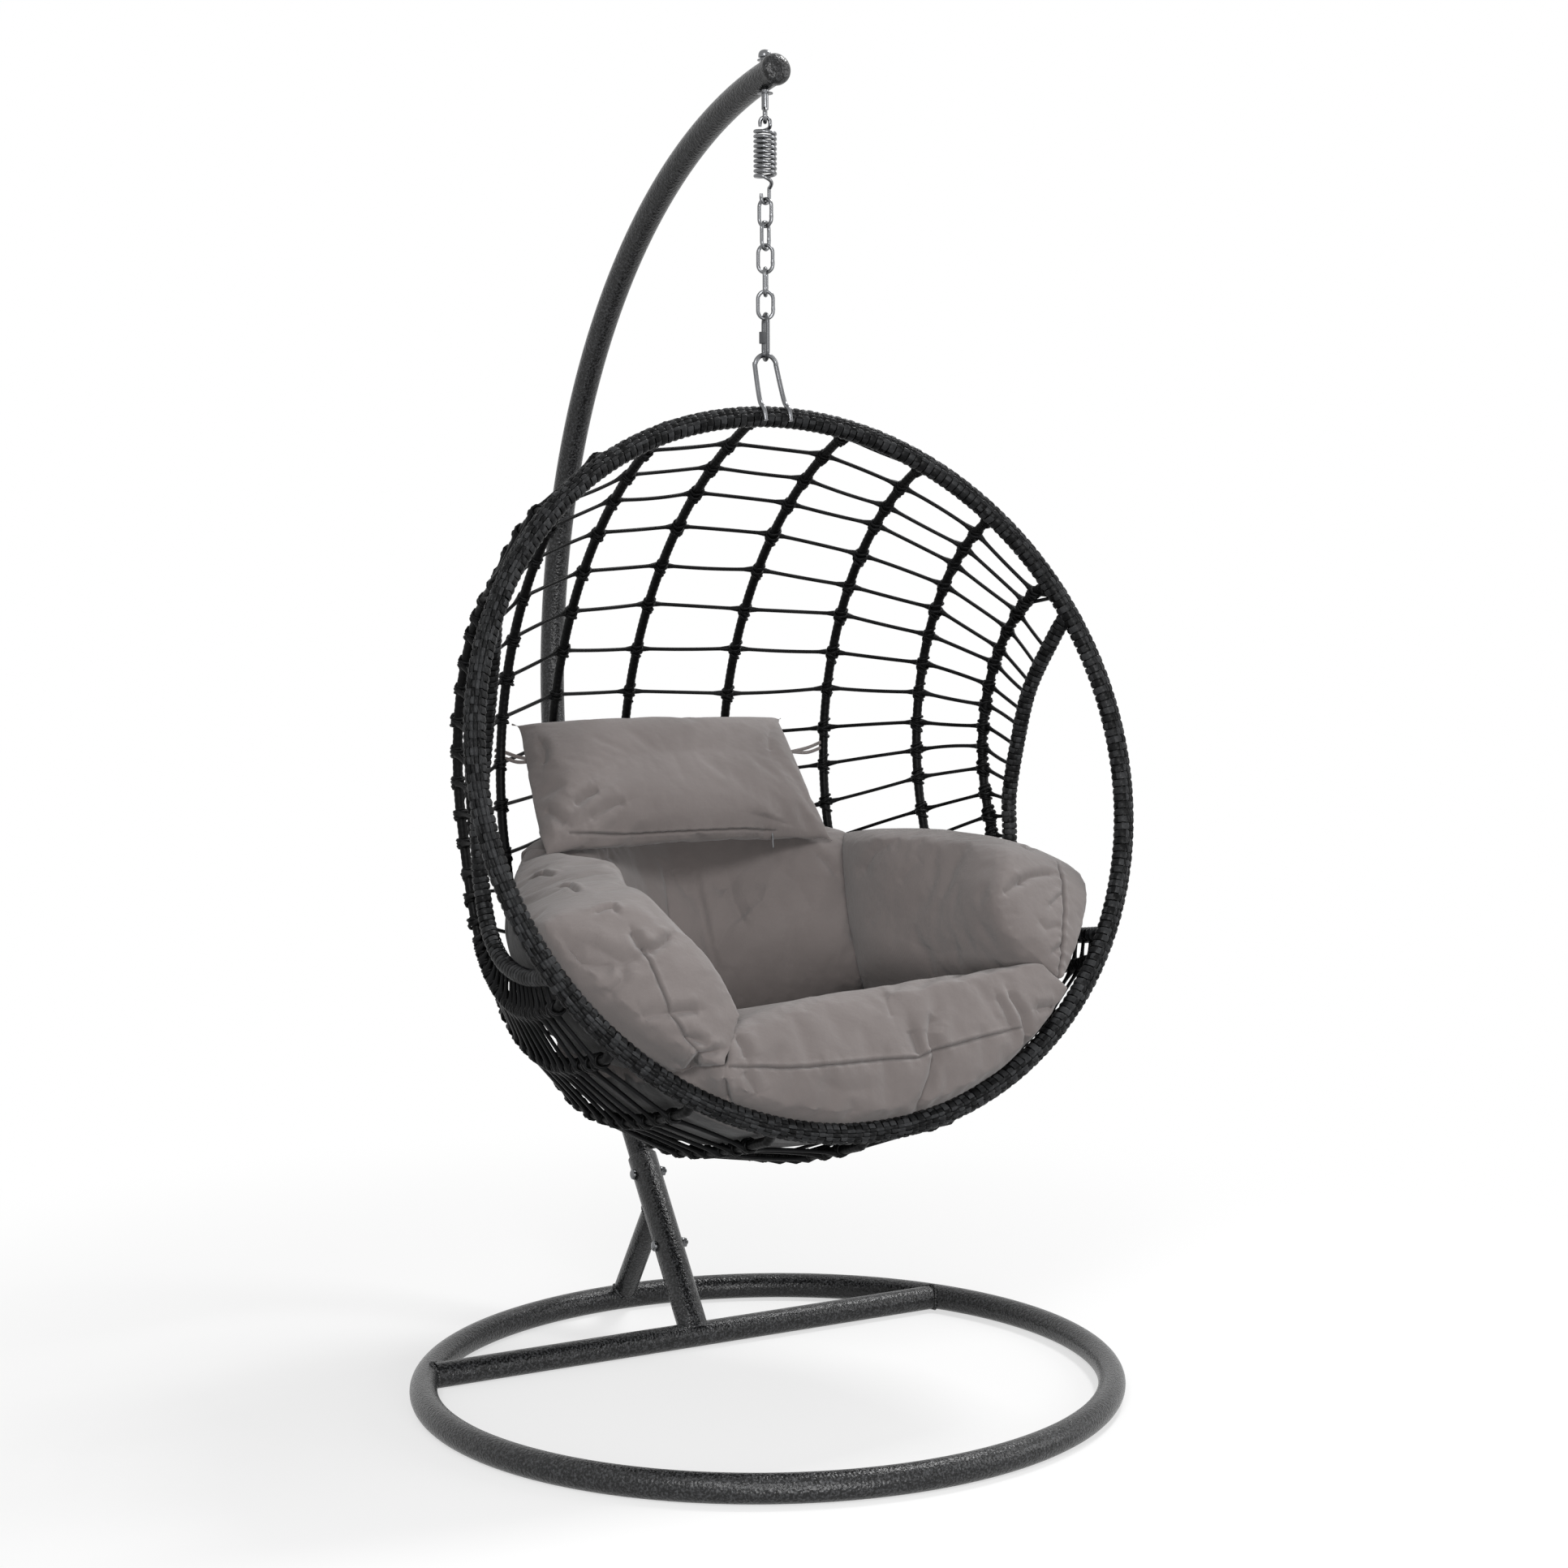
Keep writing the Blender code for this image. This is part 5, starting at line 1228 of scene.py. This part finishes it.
# the pillow gets none of the painted shade on its back
headPillow = stuffed("headPillow", pillowShape(), "head_pillow", shadedBack=False)
spot, facing = hullOf(headPillow.data).ray_cast(*photoRay(*zipTab["place"]))[:2]
top = spot + facing * zipTab["off"] - Vector((0, ringBack, 0))
tab = [top + Vector((0.0004 * sin(6 * share), -0.004 * share, -zipTab["length"] * share))
       for share in np.linspace(0, 1, 10)]
piece("zipPull", swept(tab, zipTab["thick"], 8, flat=0.5), darkZincLook, "basket", ())

ribSpots = np.concatenate(ribs)
for side, word in ((-1, "Left"), (1, "Right")):
    near = Vector((pillow["centre"][0] + side * (tie["start"][0] - tie["tuck"]), *tie["start"][1:]))
    far = np.array([pillow["centre"][0] + side * tie["end"][0], *tie["end"][1:]])
    knot = Vector(ribSpots[np.argmin(np.linalg.norm(ribSpots - far, axis=1))])
    inward, sideways = (Vector(netFocus) - knot).normalized(), (near - knot).normalized()
    tails = []
    for drop, droop in tie["strands"]:
        # two flat strands that part on the way and go round behind the rib
        tied = knot - Vector((0, 0, drop))
        middle = (near + tied) / 2 - Vector((0, 0, droop))
        behind = [tied + way * tie["round"] for way in (sideways, -inward, -sideways)]
        route = smoothed([near, middle, *behind], 36)
        tails.append(swept(route, tie["width"] / 2, 8, flat=0.3))
    piece(f"pillowTie{word}", joined(tails), canvasLook, "basket", (f"pillow_tie_{word.lower()}",))
print("pillow made")


studio = {"worldLight": 0.36, "floorTone": 0.36, "floorGlow": 0.62, "fadeFrom": 0.75, "fadeTo": 1.9,
          "floorHalf": 30, "floorDrop": 0.0004}
# where each lamp stands, what it points at, its width and height, and its power
softboxes = {"keySoftbox": ((-2.6, -3.4, 3.2), (0, -0.2, 0.8), (1.1, 1.1), 92),
             "fillSoftbox": ((3.4, -2.2, 2.0), (0, -0.2, 0.8), (1.6, 2.4), 45),
             "topSoftbox": ((1.9, 0.1, 4.0), (0, -0.2, 0.3), (0.9, 0.9), 80),
             "frontSoftbox": ((-1.1, -4.4, 0.75), (0, -0.2, 0.85), (1.5, 1.0), 92)}


def makeFloor():
    # pale near the stand, so that its shadow shows, and plain white further out
    look, white = Look(bpy.data.materials.new("paleFloor")), (1.0, 1.0, 1.0)
    reach = look.node("ShaderNodeVectorMath", {"operation": "LENGTH"}, {0: look.place()}, out="Value")
    fade = look.node("ShaderNodeMapRange", {"interpolation_type": "SMOOTHSTEP"},
                     {"Value": reach, "From Min": studio["fadeFrom"], "From Max": studio["fadeTo"]})
    seen = look.ray("Camera") + look.ray("Glossy")
    glow = look.node("ShaderNodeEmission", {}, {"Color": white, "Strength": seen * studio["floorGlow"]})
    matt = look.node("ShaderNodeBsdfDiffuse", {}, {"Color": (studio["floorTone"],) * 3})
    near = look.node("ShaderNodeAddShader", {}, {0: matt, 1: glow})
    far = look.node("ShaderNodeEmission", {}, {"Color": white, "Strength": seen})
    whole = look.node("ShaderNodeMixShader", {}, {0: fade, 1: near, 2: far})
    look.feed(look.tree.nodes["Material Output"].inputs["Surface"], whole)
    half = studio["floorHalf"]
    mesh = bpy.data.meshes.new("floor")
    corners = [(-half, -half, 0), (half, -half, 0), (half, half, 0), (-half, half, 0)]
    mesh.from_pydata(corners, [], [(0, 1, 2, 3)])
    mesh.materials.append(look.owner)
    floor = bpy.data.objects.new("floor", mesh)
    floor.location.z = -studio["floorDrop"]
    scene.collection.objects.link(floor)


def makeWorld():
    # white behind the object and in its reflections, and dimmer as light on it
    look = Look(bpy.data.worlds.new("studio"))
    seen = look.sum("MAXIMUM", look.sum("MAXIMUM", look.ray("Camera"), look.ray("Glossy")), look.ray("Transmission"))
    level = look.node("ShaderNodeMapRange", {}, {"Value": seen, "To Min": studio["worldLight"], "To Max": 1.0})
    scene.world = look.wear(Color=(1.0, 1.0, 1.0), Strength=level)


def makeLamp(name, place, target, size, power):
    data = bpy.data.lights.new(name, "AREA")
    data.shape = "RECTANGLE"
    data.size, data.size_y = size
    data.energy = power
    lamp = bpy.data.objects.new(name, data)
    lamp.location = place
    lamp.rotation_euler = (Vector(target) - Vector(place)).to_track_quat("-Z", "Y").to_euler()
    scene.collection.objects.link(lamp)


makeFloor()
makeWorld()
for name, settings in softboxes.items():
    makeLamp(name, *settings)
scene.view_settings.view_transform = "Standard"
print("stage made")
